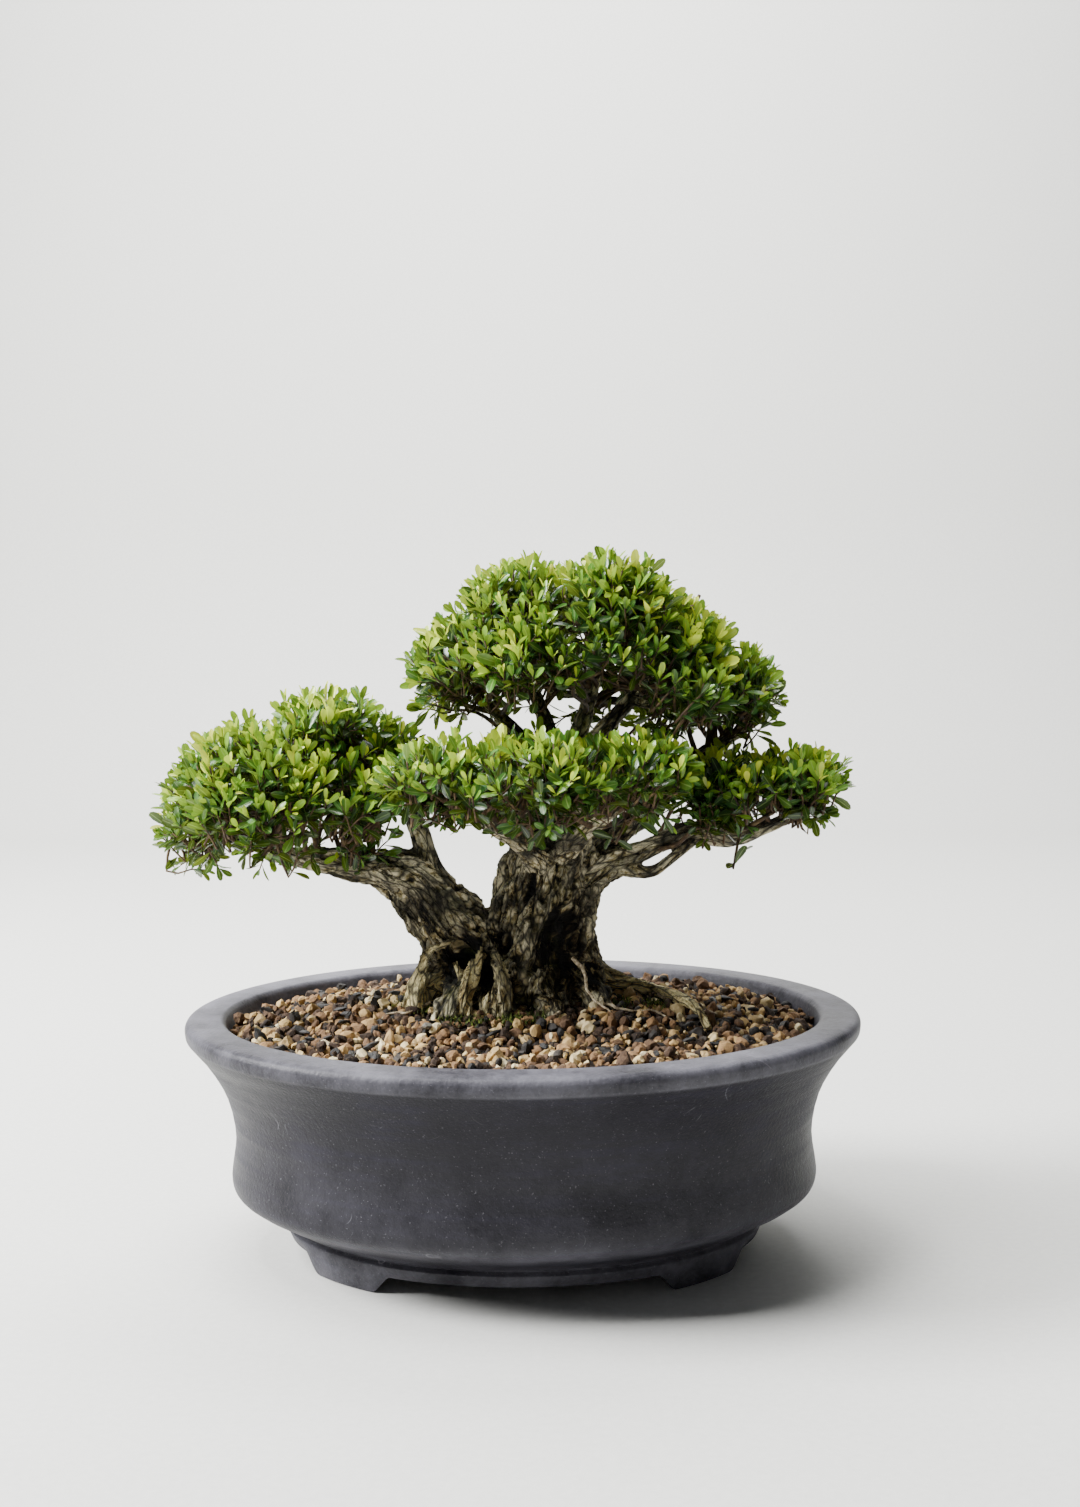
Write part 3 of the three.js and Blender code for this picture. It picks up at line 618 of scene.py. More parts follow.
def tube(line, radii, sides):
    """Points, quads and triangles of a closed round tube."""
    heading, side, other = frames_along(line)
    turn = np.linspace(0, 2 * math.pi, sides, endpoint=False)
    ring = side[:, None] * np.cos(turn)[:, None] + other[:, None] * np.sin(turn)[:, None]
    rings = line[:, None] + ring * np.asarray(radii)[:, None, None]
    return closed_loft(list(rings), line[0], line[-1])


def gathered(parts):
    """Several sets of points, quads and triangles as one."""
    points, quads, triangles, count = [], [], [], 0
    for p, q, t in parts:
        points.append(p)
        quads.append(np.asarray(q).reshape(-1, 4) + count)
        triangles.append(np.asarray(t).reshape(-1, 3) + count)
        count += len(p)
    return np.vstack(points), np.vstack(quads), np.vstack(triangles)


# %% Ropes round the thick limbs
ROPE_REACH = 0.86  # where the middle of a rope lies, as a share of the limb's radius
CORE_SHARE = 0.93  # the radius of the plain tube inside the ropes, as the same share
# Each roped limb: the ropes round it, their thickness as a share of its radius, and how far they wander.
ROPED = [
    (TRUNK, 15, 0.22, 0.3), (LEFT_LIMB, 9, 0.3, 0.3), (RIGHT_LIMB, 4, 0.42, 0.4), (CROWN_RIGHT, 3, 0.45, 0.5),
    *[(root, 5, 0.38, 0.6) for root in ROOTS],
    *[(strap, 3, 0.5, 0.5) for strap in STRAPS],
]
wood_random = np.random.default_rng(5)


def ropes(path, radii, count, thickness, wander):
    """Wavy tubes laid round a limb, that part and meet as they climb."""
    steps = 40
    line = smooth_line(path, steps)
    reach = radii_along(radii, steps)
    heading, side, other = frames_along(line)
    made = []
    for k in range(count):
        phase, pace = wood_random.uniform(0, 2 * math.pi), wood_random.uniform(1.0, 2.4)
        along = np.linspace(0, 1, steps)
        turn = 2 * math.pi * (k + 0.3 * wood_random.random()) / count
        turn = turn + wander * np.sin(2 * math.pi * pace * along + phase)
        swell = 1 + 0.22 * np.sin(2 * math.pi * 2.3 * pace * along + 2 * phase)
        out = side * np.cos(turn)[:, None] + other * np.sin(turn)[:, None]
        middle = line + out * (reach * ROPE_REACH)[:, None]
        made.append(tube(middle, reach * thickness * swell, 8))
    return made


tubes = []
for path, radii in LIMBS:
    steps = max(10, int(run_along(np.array(path, float))[-1] / 2.5))
    tubes.append(tube(smooth_line(path, steps), radii_along(radii, steps) * CORE_SHARE, 14))
for limb, count, thickness, wander in ROPED:
    tubes += ropes(*limb, count, thickness, wander)
print(len(tubes), "tubes and ropes")

# %% [markdown]
# The skin of all the tubes is remade in cells of a millimetre, which is as coarse as the smallest bark plate
# allows. The bark's crust is made of several noises on top of each other: broad burls and swellings, and plates
# of three sizes parted by winding cracks. All are drawn out along the limb, and each is weaker on a thin limb
# than on the trunk.

# %% One skin of wood
VOXEL = 1.0
wood_mesh = new_mesh("wood", *gathered(tubes))
bark_stand_in = bpy.data.materials.new("bark_stand_in")
wood = new_piece("trunk_and_limbs", wood_mesh, bark_stand_in, ["wood"])
remesh = wood.modifiers.new("one_skin", "REMESH")
remesh.mode, remesh.voxel_size = "VOXEL", VOXEL * MM
wood_mesh = applied(wood)
print("wood skin:", len(wood_mesh.polygons), "faces")

# %% Where each point lies on its limb
ALONG_SHARE = 0.3  # how much a pattern is drawn out along the limb
LIMB_SHIFT = 37.0  # mm, keeps the patterns of two limbs apart
BLEACHED_ROOTS = {0: 1.0, 2: 0.5, 5: 1.0}  # the roots that the sun has bleached, and how much
BLEACHED_STRAPS = [1.0, 0.9, 0.4, 0.8]  # the same for the straps, in their order
# Rotted hollows: the middle, the half-sizes and how deep the wood has gone. The bark's colour is darkened in
# them as well, as painted shade.
HOLLOWS = [
    ((20, -30, 138), (9.5, 18, 17), 17),
    ((-10, -26, 143), (5, 12, 8), 7),
    ((-25, -24, 132), (5, 13, 7), 7),
    ((-5, -34, 120), (3.5, 12, 9), 6),
    ((33, -22, 126), (5, 12, 6), 5),
    ((-15, -26, 128), (3.2, 12, 8), 5),
    ((-33, -24, 129), (5, 12, 8), 5),
    ((-22, -20, 140), (5, 8, 3.5), 4),
]


def read_points(mesh):
    flat = np.empty(len(mesh.vertices) * 3, np.float32)
    mesh.vertices.foreach_get("co", flat)
    return (flat.reshape(-1, 3).astype(float) - FOOT_MIDDLE) / MM


def limb_places(points):
    """For each point, its place on the nearest limb (across, across, along), that limb's radius there, how
    far out it lies, where 1 is the limb's own radius, and the limb's number."""
    nearest = np.full(len(points), 1e9)
    nearest_limb = np.zeros(len(points), int)
    places = np.zeros((len(points), 3))
    radius = np.zeros(len(points))
    for number, (path, radii) in enumerate(LIMBS):
        steps = max(12, int(run_along(np.array(path, float))[-1] / 1.5))
        line = smooth_line(path, steps)
        reach = radii_along(radii, steps)
        heading, side, other = frames_along(line)
        run = run_along(line)
        low, high = line.min(0) - 2.2 * max(radii), line.max(0) + 2.2 * max(radii)
        near = np.flatnonzero(np.all((points > low) & (points < high), axis=1))
        if not len(near):
            continue
        here = points[near]
        apart = ((here**2).sum(1)[:, None] - 2 * here @ line.T + (line**2).sum(1)[None]).clip(0)
        which = np.argmin(apart, axis=1)
        share = np.sqrt(apart[np.arange(len(near)), which]) / reach[which]
        better = share < nearest[near]
        at, which, here = near[better], which[better], here[better]
        offset = here - line[which]
        nearest[at] = share[better]
        nearest_limb[at] = number
        radius[at] = reach[which]
        places[at, 0] = (offset * side[which]).sum(1)
        places[at, 1] = (offset * other[which]).sum(1)
        places[at, 2] = (run[which] + (offset * heading[which]).sum(1)) * ALONG_SHARE + LIMB_SHIFT * number
    return places, radius, nearest, nearest_limb


def noise_at(places, size, seed=0.0):
    """Smooth noise from -1 to 1 with lumps of about the given size."""
    return np.array([noise.noise(Vector(p)) for p in places / size + seed]) * 1.6


def plates_at(places, size, crack, seed):
    """1 on plates of about the given size, falling to 0 in the winding cracks between them."""
    return np.clip(np.abs(noise_at(places, size, seed)) / crack, 0, 1)


FULL_CRUST = 17.0  # mm, the radius from which a limb carries the full crust
THINNEST_CRUST = 0.14  # as a share of the full one
skin = read_points(wood_mesh)
places, limb_radius, _, limb_number = limb_places(skin)
wobble = np.column_stack([noise_at(places, 5.0, 3.0), noise_at(places, 5.0, 7.0), np.zeros(len(places))])
places = places + 1.4 * wobble
burl = noise_at(places, 13.0, 41.0)
swelling = noise_at(places, 6.0)
big_plate = plates_at(places * [1, 1, 0.75], 4.6, 0.3, 11.0)
plate = plates_at(places, 2.6, 0.4, 23.0)
scale = plates_at(places, 1.5, 0.5, 53.0)
crust = np.clip(limb_radius / FULL_CRUST, THINNEST_CRUST, 1)
# In millimetres: burls, swellings, and plates of three sizes, each less about its mean, so that the limbs
# grow no thicker.
relief = crust * (1.8 * burl * crust + 0.6 * swelling + 2.5 * (big_plate - 0.8) + 1.1 * (plate - 0.7)
                  + 0.4 * (scale - 0.6))
hollow_shade = np.zeros(len(skin))
on_strap = np.isin(limb_number, [LIMBS.index(strap) for strap in STRAPS])
for middle, half, depth in HOLLOWS:
    away = (((skin - middle) / half) ** 2).sum(1)
    share = np.where(on_strap, 0, np.exp(-1.4 * away))
    relief -= depth * share
    hollow_shade = np.maximum(hollow_shade, share)
normals = np.empty(len(skin) * 3, np.float32)
wood_mesh.vertices.foreach_get("normal", normals)
skin = skin + normals.reshape(-1, 3) * relief[:, None]
wood_mesh.vertices.foreach_set("co", in_metres(skin).astype(np.float32).ravel())
wood_mesh.update()
paint(wood_mesh, "limb_place", places)
# The crust's height for the colour follows the plates and swellings of the relief, so the colour is darker in
# the low places and lighter on the raised ones: partly painted shade and painted highlight.
depth = 0.1 + 0.45 * big_plate * (0.5 + 0.5 * plate) + 0.22 * scale * plate + 0.14 * swelling + 0.1 * burl
# In the hollows the stored crust is lowered, so that their colour turns near black: painted shade.
paint(wood_mesh, "crust", depth - 1.3 * hollow_shade)
bleached = np.zeros(len(skin))
for number, share in BLEACHED_ROOTS.items():
    bleached += share * (limb_number == LIMBS.index(ROOTS[number])) * np.clip((128 - skin[:, 2]) / 8, 0, 1)
for strap, share in zip(STRAPS, BLEACHED_STRAPS):
    bleached += share * (limb_number == LIMBS.index(strap)) * np.clip((146 - skin[:, 2]) / 10, 0, 1)
paint(wood_mesh, "bleached", bleached)
print("bark relief from", round(relief.min(), 2), "to", round(relief.max(), 2), "mm")

# %% [markdown]
# ### Old boxwood bark
# Old boxwood bark is cork: dry, matte and rough. Its colour follows the height of the crust: nearly black in
# the grooves, olive-brown on the plates and a pale greyish tan on the edges that stand out. This is partly the
# bark's own weathered colour, and partly painted shade in the grooves and a painted highlight on the raised
# edges. Two layers of crooked cracks part it into plates and the plates into scales, healed knobs show as pale
# discs, and moss dust greens it in patches, mostly low down. Roots that lie in the sun lose their crust and
# turn straw-coloured. To the eye it is dull and deeply lined. The stored height of the crust sets the colour,
# and in the rotted hollows it is lowered, so that they are painted dark: painted shade. A finer noise along the
# limb adds the fibres, a third of a millimetre wide in the real bark and drawn about twice as coarse here, so
# that they show.

# %% Bark fibres, cracks and knobs
bark, shader = new_material("old_boxwood_bark", IOR=1.45, Roughness=0.9)
place = add(bark, "ShaderNodeTexCoord").outputs["Object"]
along_limb, crust_height_and_hollow_shade, bleach = [
    add(bark, "ShaderNodeAttribute", attribute_name=name).outputs[kind]
    for name, kind in (("limb_place", "Vector"), ("crust", "Fac"), ("bleached", "Fac"))
]
fibres, patches, weather = [
    add(bark, "ShaderNodeTexNoise", {"Scale": scale, "Detail": detail, "Roughness": roughness},
        {"Vector": vector}).outputs["Fac"]
    for scale, detail, roughness, vector in (
        (1.3, 5.0, 0.7, along_limb), (60.0, 3.0, 0.5, place), (95.0, 4.0, 0.5, place),
    )
]
tremble = add(bark, "ShaderNodeTexNoise", {"Scale": 0.45, "Detail": 4.0, "Roughness": 0.6},
              {"Vector": along_limb}).outputs["Color"]
crooked = add(bark, "ShaderNodeVectorMath", {1: (1.5, 1.5, 1.5)}, {0: tremble, 2: along_limb},
              operation="MULTIPLY_ADD").outputs[0]
cracks = []
for scale, darkness, width in ((0.3, 0.9, 0.17), (0.75, 0.5, 0.12)):  # between plates, and between scales
    edge = add(bark, "ShaderNodeTexVoronoi", {"Scale": scale}, {"Vector": crooked},
               feature="DISTANCE_TO_EDGE").outputs["Distance"]
    cracks.append(add(bark, "ShaderNodeValToRGB", links={"Fac": edge},
                      stops=[(0.02, darkness), (width, 0.0)]).outputs["Color"])
crack = add(bark, "ShaderNodeMath", links=dict(enumerate(cracks)), operation="MAXIMUM").outputs[0]
scar = add(bark, "ShaderNodeTexVoronoi", {"Scale": 0.14}, {"Vector": along_limb}).outputs
height = add(bark, "ShaderNodeMath", {1: 0.7}, {0: fibres, 2: crust_height_and_hollow_shade},
             operation="MULTIPLY_ADD").outputs[0]
print("patterns of the bark:", len(bark.node_tree.nodes), "nodes")

# %% Bark colours
# Both ramps follow the height of the crust. Part of this is the bark's own colour, and part is painted shade in
# the grooves and a painted highlight on the raised plates.
crust_tone_with_relief_shade, pale_tone_with_relief_shade, dark_patch, knob_near, knob_pick, moss_share = [
    add(bark, "ShaderNodeValToRGB", links={"Fac": pattern}, stops=stops).outputs["Color"]
    for pattern, stops in (
        (height, [(0.4, "#050403"), (0.5, "#1f190f"), (0.6, "#625537"), (0.72, "#b8a878"), (0.86, "#eee3bd")]),
        (height, [(0.4, "#33291a"), (0.53, "#baa268"), (0.72, "#f4e4a8")]),
        (weather, [(0.42, 0.8), (0.56, 0.0)]),
        (scar["Distance"], [(0.15, 1.0), (0.24, 0.0)]),
        (scar["Color"], [(0.52, 0.0), (0.56, 0.75)]),
        (patches, [(0.48, 0.0), (0.66, 0.7)]),
    )
]
low_down = add(bark, "ShaderNodeSeparateXYZ", links={"Vector": place}).outputs["Z"]
near_soil = add(bark, "ShaderNodeMapRange", {1: 0.112, 2: 0.19, 3: 1.0, 4: 0.3}, {0: low_down}).outputs[0]
knob, moss = [
    add(bark, "ShaderNodeMath", links={0: pattern, 1: where}, operation="MULTIPLY").outputs[0]
    for pattern, where in ((knob_near, knob_pick), (moss_share, near_soil))
]
colour = crust_tone_with_relief_shade
for share, tone in ((dark_patch, "#0f0d08"), (knob, "#a3946c"), (moss, "#454c1d"), (bleach, pale_tone_with_relief_shade),
                    (crack, "#060504")):
    plain = isinstance(tone, str)
    colour = add(bark, "ShaderNodeMix", {SECOND: linear(tone)} if plain else {},
                 {FACTOR: share, FIRST: colour} | ({} if plain else {SECOND: tone}),
                 data_type="RGBA").outputs[MIXED]
join_up(bark, colour, shader, "Base Color")
raised = add(bark, "ShaderNodeMath", {1: 0.9}, {0: crack}, operation="SUBTRACT").outputs[0]
rough = add(bark, "ShaderNodeMath", {1: 1.2}, {0: fibres, 2: raised}, operation="MULTIPLY_ADD").outputs[0]
bump = add(bark, "ShaderNodeBump", {"Strength": 0.9, "Distance": 0.0008}, {"Height": rough})
join_up(bark, bump.outputs[0], shader, "Normal")
wood_mesh.materials.clear()
wood_mesh.materials.append(bark)
bpy.data.materials.remove(bark_stand_in)
print("bark:", len(bark.node_tree.nodes), "nodes")

# %% [markdown]
# ## The soil
# Bonsai soil is a mix of grains that drain freely: baked clay in tans, orange-browns and dark browns, cream
# pumice, and black lava. Most grains are 2.5 to 6 mm across. Here a dark mound of fine stuff fills the pot up
# to the roots, and the grains lie on it as real stones, each turned its own way. A texture alone could
# not give their shadows and their ragged outline against the rim.
#
# Ten different stones are made from a ball of small faces: its points are pushed in and out, flat breaks are
# cut into it, and each point is moved a little more, for crumbs and pits. Every grain is one of the ten,
# stretched, turned and set on the mound, so thousands of grains need only a few array steps.

# %% The shape of the mound
MOUND = [(29.9, 38), (29.4, 62), (19.8, 99.5), (40, 102), (62, 105), (84, 109.5), (106, 112)]
MOUND_BOTTOM = (37.4, 24.6)  # clear of the drain screens
SETTLED = 1.3  # mm, how far the fine stuff lies under the grains' own level
FRONT_FILL = 3.5  # mm, how much fuller the pot is at the front


def inset_of(x, y):
    """How far inside the pot's widest oval a place lies, found by halving."""
    low, high = np.zeros_like(x), np.full_like(x, HALF_DEPTH - 1)
    for _ in range(24):
        middle = (low + high) / 2
        outside = np.hypot(x / (HALF_WIDTH - middle), y / (HALF_DEPTH - middle)) > 1
        high = np.where(outside, middle, high)
        low = np.where(outside, low, middle)
    return low


def mound_height(x, y):
    surface = np.array(MOUND[2:])
    inset = inset_of(x, y)
    height = np.interp(inset, surface[:, 0], surface[:, 1])
    front = np.clip((-y - 20) / 70, 0, 1) * np.clip((70 - inset) / 50, 0, 1)
    return height + FRONT_FILL * front * front * (3 - 2 * front)


soil_turn = np.linspace(0, 2 * math.pi, 180, endpoint=False)
mound_rings = []
for inset, z in [MOUND_BOTTOM, *MOUND[:2], (21, 93)]:
    mound_rings.append(np.column_stack([*oval(inset + 0.4, soil_turn), np.full(len(soil_turn), z)]))
for inset in np.arange(20.4, 114, 2.4):
    x, y = oval(inset, soil_turn)
    mound_rings.append(np.column_stack([x, y, mound_height(x, y) - SETTLED]))
points, quads, triangles = closed_loft(mound_rings, (0, 0, MOUND_BOTTOM[1]), (0, 0, MOUND[-1][1] - SETTLED))
surface = points[:, 2] > 96
points[surface, 2] += 0.7 * noise_at(points[surface], 4.0)
mound_mesh = new_mesh("mound", points, quads, triangles)
print("mound:", len(mound_mesh.polygons), "faces")

# %% [markdown]
# ### The soil's finishes
# Baked clay, sold as akadama, is soft, dusty and quite matte, in many browns that change from grain to
# grain. Pumice is cream, light and full of pores. Lava is black to dark grey with a glint here and there.
# Each grain carries one random number, and the ramp of its material turns that into its own colour. The
# pores are about 0.4 mm, and a powdery noise of about a millimetre lightens patches of each grain.


# %% Grain materials
def grain_material(name, stops, pore_size, roughness, dust):
    material, shader = new_material(name, IOR=1.5, Roughness=roughness)
    place = add(material, "ShaderNodeTexCoord").outputs["Object"]
    tint = add(material, "ShaderNodeAttribute", attribute_name="tint").outputs["Fac"]
    blotch = add(material, "ShaderNodeTexNoise", {"Scale": 1 / (1.1 * MM), "Detail": 4.0, "Roughness": 0.7},
                 {"Vector": place}).outputs["Fac"]
    shade = add(material, "ShaderNodeMath", {1: 0.3}, {0: blotch, 2: tint}, operation="MULTIPLY_ADD")
    lower = add(material, "ShaderNodeMath", {1: 0.15}, {0: shade.outputs[0]}, operation="SUBTRACT")
    colour = add(material, "ShaderNodeValToRGB", links={"Fac": lower.outputs[0]}, stops=stops).outputs["Color"]
    powder = add(material, "ShaderNodeValToRGB", links={"Fac": blotch}, stops=[(0.55, 0.0), (0.75, 0.45)])
    dusty = add(material, "ShaderNodeMix", {SECOND: linear(dust)},
                {FACTOR: powder.outputs["Color"], FIRST: colour}, data_type="RGBA").outputs[MIXED]
    join_up(material, dusty, shader, "Base Color")
    pores = add(material, "ShaderNodeTexNoise", {"Scale": 1 / (pore_size * MM), "Detail": 3.0},
                {"Vector": place}).outputs["Fac"]
    bump = add(material, "ShaderNodeBump", {"Strength": 0.7, "Distance": 0.0004}, {"Height": pores})
    join_up(material, bump.outputs[0], shader, "Normal")
    return material


akadama = grain_material(
    "baked_clay_grains",
    [(0.0, "#1a110b"), (0.28, "#3b291b"), (0.52, "#634931"), (0.78, "#8e6d48"), (1.0, "#bfa069")],
    0.5, 0.92, "#9f8664",
)
pumice = grain_material(
    "cream_pumice_grains", [(0.0, "#8a7148"), (0.4, "#b59a6a"), (0.7, "#cfb987"), (1.0, "#e8dab2")],
    0.4, 0.9, "#e2d6b8",
)
lava = grain_material(
    "black_lava_grains", [(0.0, "#0d0c0b"), (0.5, "#1f1b18"), (1.0, "#3a332d")], 0.4, 0.75, "#4d463f",
)
fine_soil = grain_material(
    "fine_clay_dust", [(0.0, "#0f0a07"), (0.5, "#1f160f"), (1.0, "#352819")], 0.6, 0.95, "#463626",
)
print("grain finishes:", ", ".join(m.name for m in (akadama, pumice, lava, fine_soil)))

# %% The mound in its finish
paint(mound_mesh, "tint", np.full(len(mound_mesh.vertices), 0.5))
new_piece("soil_mound", mound_mesh, fine_soil, ["soil"])

# %% Where the grains lie
GRAIN_PITCH = 4.15
GRAIN_RADIUS = (1.2, 3.2)
GRID_REACH = (38, 36)  # places to each side of the middle
LOOSE_SHARE, LOOSE_LIFT = 0.1, 2.2  # the grains that lie on top of the others, and how much higher
UNEVEN = (-1.2, 1.0)  # how far a grain lies below or above the mound
GRAIN_KINDS = [("clay_grains_a", 0.38), ("clay_grains_b", 0.35), ("pumice_grains", 0.14), ("lava_grains", 0.13)]
soil_random = np.random.default_rng(17)

columns, rows = np.meshgrid(*[np.arange(-reach, reach + 1) for reach in GRID_REACH])
grid = np.column_stack([
    (columns + 0.5 * (rows % 2)).ravel() * GRAIN_PITCH,
    rows.ravel() * GRAIN_PITCH * math.sqrt(0.75),
])
grid = grid + soil_random.uniform(-0.42, 0.42, grid.shape) * GRAIN_PITCH
loose = grid[soil_random.random(len(grid)) < LOOSE_SHARE] + soil_random.uniform(-2, 2, 2)
flat = np.vstack([grid, loose])
on_top = np.arange(len(flat)) >= len(grid)
radius = GRAIN_RADIUS[0] + (GRAIN_RADIUS[1] - GRAIN_RADIUS[0]) * soil_random.random(len(flat)) ** 1.3
inside_pot = inset_of(flat[:, 0], flat[:, 1]) > 19.2 + radius
flat, on_top, radius = flat[inside_pot], on_top[inside_pot], radius[inside_pot]
level = mound_height(flat[:, 0], flat[:, 1]) + soil_random.uniform(*UNEVEN, len(flat)) + on_top * LOOSE_LIFT
grain_middles = np.column_stack([flat, level])
_, limb_reach, limb_share, near_limb = limb_places(grain_middles)
long_root = near_limb == LIMBS.index(ROOTS[5])  # this one lies on the soil, so no grain may cover it
clear_of_wood = (limb_share - 1) * limb_reach > np.where(long_root, 1.7, -3.5)
grain_middles, radius = grain_middles[clear_of_wood], radius[clear_of_wood]
kind = np.searchsorted(np.cumsum([share for _, share in GRAIN_KINDS]), soil_random.random(len(radius)))
kind = kind.clip(0, len(GRAIN_KINDS) - 1)
print(len(radius), "grains")

# %% Ten stones, and a grain from one of them at each place
BROKEN_FACES = 7  # flat places on each stone
ball = bmesh.new()
bmesh.ops.create_icosphere(ball, subdivisions=2, radius=1)
ball_points = np.array([v.co for v in ball.verts])
ball_faces = np.array([[v.index for v in face.verts] for face in ball.faces])
ball.free()
stones = []
for number in range(10):
    lumps = noise_at(ball_points + 20.0 * number, 0.9) * 0.22
    lumps += noise_at(ball_points + 31.0 * number, 0.4) * 0.16
    stone = ball_points * (1 + lumps)[:, None]
    for face in unit(soil_random.normal(size=(BROKEN_FACES, 3))):
        beyond = np.maximum(stone @ face - soil_random.uniform(0.62, 0.88), 0)
        stone = stone - beyond[:, None] * face
    stones.append(stone * soil_random.normal(1, 0.06, (len(stone), 1)))  # crumbs and pits
stones = np.array(stones)


def turned(count, random):
    """As many random turns, as matrices."""
    q = unit(random.normal(size=(count, 4)))
    w, x, y, z = q.T
    return np.array([
        [1 - 2 * (y * y + z * z), 2 * (x * y - w * z), 2 * (x * z + w * y)],
        [2 * (x * y + w * z), 1 - 2 * (x * x + z * z), 2 * (y * z - w * x)],
        [2 * (x * z - w * y), 2 * (y * z + w * x), 1 - 2 * (x * x + y * y)],
    ]).transpose(2, 0, 1)


def set_down(name, shapes, turns, middles, material, random):
    """One piece of many stones, each turned, put in its place and given its own number for the colour."""
    grains = np.einsum("nij,nkj->nki", turns, shapes) + middles[:, None]
    starts = np.arange(len(middles))[:, None, None] * len(ball_points)
    mesh = new_mesh(name, grains.reshape(-1, 3), (), (ball_faces + starts).reshape(-1, 3))
    paint(mesh, "tint", np.repeat(random.random(len(middles)), len(ball_points)))
    return new_piece(name, mesh, material, smooth=False)


def pile(name, middles, sizes, material, random):
    """Grains turned any way."""
    shapes = stones[random.integers(0, len(stones), len(middles))]
    shapes = shapes * random.uniform(0.7, 1.3, (len(middles), 1, 3)) * sizes[:, None, None]
    return set_down(name, shapes, turned(len(middles), random), middles, material, random)


for number, (name, _) in enumerate(GRAIN_KINDS):
    chosen = kind == number
    material = [akadama, akadama, pumice, lava][number]
    pile(name, grain_middles[chosen], radius[chosen], material, soil_random)

# %% [markdown]
# ## Small things on the soil
# Thin pale rootlets have come up between the roots and the grains, and one hangs free in front of the hollow.
# A root that dries in the air has a thin tan skin, flecked about every 1.4 mm where it peels: to the eye a
# pale, dull thread. Each rootlet is a fine tube along a smooth line over the mound, shaken by a little noise,
# because a real one is never straight.


# %% Rootlets
def on_mound(line, lift):
    """A line of places on the mound, as points that lie a little above it."""
    line = np.asarray(line, float)
    return np.column_stack([line, mound_height(line[:, 0], line[:, 1]) + lift])


HANGING_ROOTLET = [(22, -22, 133), (27, -26, 128), (28, -31, 121), (33, -36, 116), (38, -40, 113)]
ROOTLETS = [
    ([(16, -35), (12, -43), (15, -50), (21, -54)], 0.8),
    ([(60, -6), (72, -13), (85, -17), (96, -14)], 0.9),
    ([(34, -22), (46, -27), (57, -25), (66, -30)], 0.8),
    ([(-40, -20), (-50, -27), (-57, -25), (-64, -31)], 0.9),
    ([(24, 34), (34, 46), (47, 50), (56, 60)], 0.9),
    ([(-22, 36), (-33, 49), (-36, 60)], 0.8),
]
rootlet_tubes = []
rootlet_lines = [(on_mound(path, [3.0] + [1.9] * (len(path) - 2) + [0.2]), size) for path, size in ROOTLETS]
for path, thickness in [(HANGING_ROOTLET, 1.0), *rootlet_lines]:
    line = smooth_line(path, 26)
    line = line + 0.5 * np.column_stack([noise_at(line + shift, 4.0) for shift in (0.0, 40.0, 80.0)])
    rootlet_tubes.append(tube(line, np.linspace(thickness, 0.35 * thickness, 26), 8))
rootlet_mesh = new_mesh("rootlets", *gathered(rootlet_tubes))
rootlet_skin, _, _ = flecked_material(
    "dry_root_skin", 1.4, 4.0, [(0.32, "#5e4c33"), (0.5, "#a8977a"), (0.7, "#dccfb0")], 0.6, 0.3,
    IOR=1.45, Roughness=0.75,
)
new_piece("surface_rootlets", rootlet_mesh, rootlet_skin)

# %% [markdown]
# A grey chip of old wood and some bits of charcoal lie about. Charcoal is near black, with a faint glint on
# its broken faces. Dead wood goes silvery grey, dull and dusty. Both break into slivers, so they are stones of
# the set above, drawn out long and flat and laid down almost level.

# %% The wood chip and the charcoal
CHIP_COUNT, CHIP_LIFT = 46, 2.4
CHIP_AREA = ([-105, -82], [105, 60])  # two of its corners
WOOD_CHIP_PLACE, WOOD_CHIP_LIFT, WOOD_CHIP_SIZE = (-40, -46), 3.2, (6.5, 2.8, 1.6)
chip_places = soil_random.uniform(*CHIP_AREA, (CHIP_COUNT * 3, 2))
chip_places = chip_places[inset_of(chip_places[:, 0], chip_places[:, 1]) > 26]
chip_middles = on_mound(chip_places, CHIP_LIFT)
chip_middles = chip_middles[limb_places(chip_middles)[2] > 1.3][:CHIP_COUNT]
chip_middles[0] = on_mound([WOOD_CHIP_PLACE], WOOD_CHIP_LIFT)[0]


def chips_at(name, middles, sizes, material, random):
    """Angular slivers that lie almost flat, each turned its own way."""
    shapes = stones[random.integers(0, len(stones), len(middles))] * sizes[:, None]
    turns = random.uniform(0, 2 * math.pi, len(middles))
    level = np.zeros((len(middles), 3, 3))
    level[:, 0, 0], level[:, 0, 1] = np.cos(turns), -np.sin(turns)
    level[:, 1, 0], level[:, 1, 1] = np.sin(turns), np.cos(turns)
    level[:, 2, 2] = 1
    tilts = np.array([Matrix.Rotation(a, 3, "Y") for a in random.uniform(-0.4, 0.4, len(middles))])
    return set_down(name, shapes, level @ tilts, middles, material, random)


charcoal = grain_material(
    "charcoal_bits", [(0.0, "#0b0a09"), (0.5, "#171514"), (1.0, "#2b2826")], 0.5, 0.6, "#3a3633",
)
dead_wood = grain_material(
    "dry_grey_wood", [(0.0, "#3f3c37"), (0.5, "#66625a"), (1.0, "#8d887c")], 0.7, 0.85, "#a19c90",
)
chip_sizes = np.column_stack([
    soil_random.uniform(2.6, 4.6, len(chip_middles)), soil_random.uniform(1.1, 2.0, len(chip_middles)),
    soil_random.uniform(0.7, 1.2, len(chip_middles)),
])
chips_at("charcoal_bits", chip_middles[1:], chip_sizes[1:], charcoal, soil_random)
chips_at("wood_chip", chip_middles[:1], np.array([WOOD_CHIP_SIZE]), dead_wood, np.random.default_rng(3))

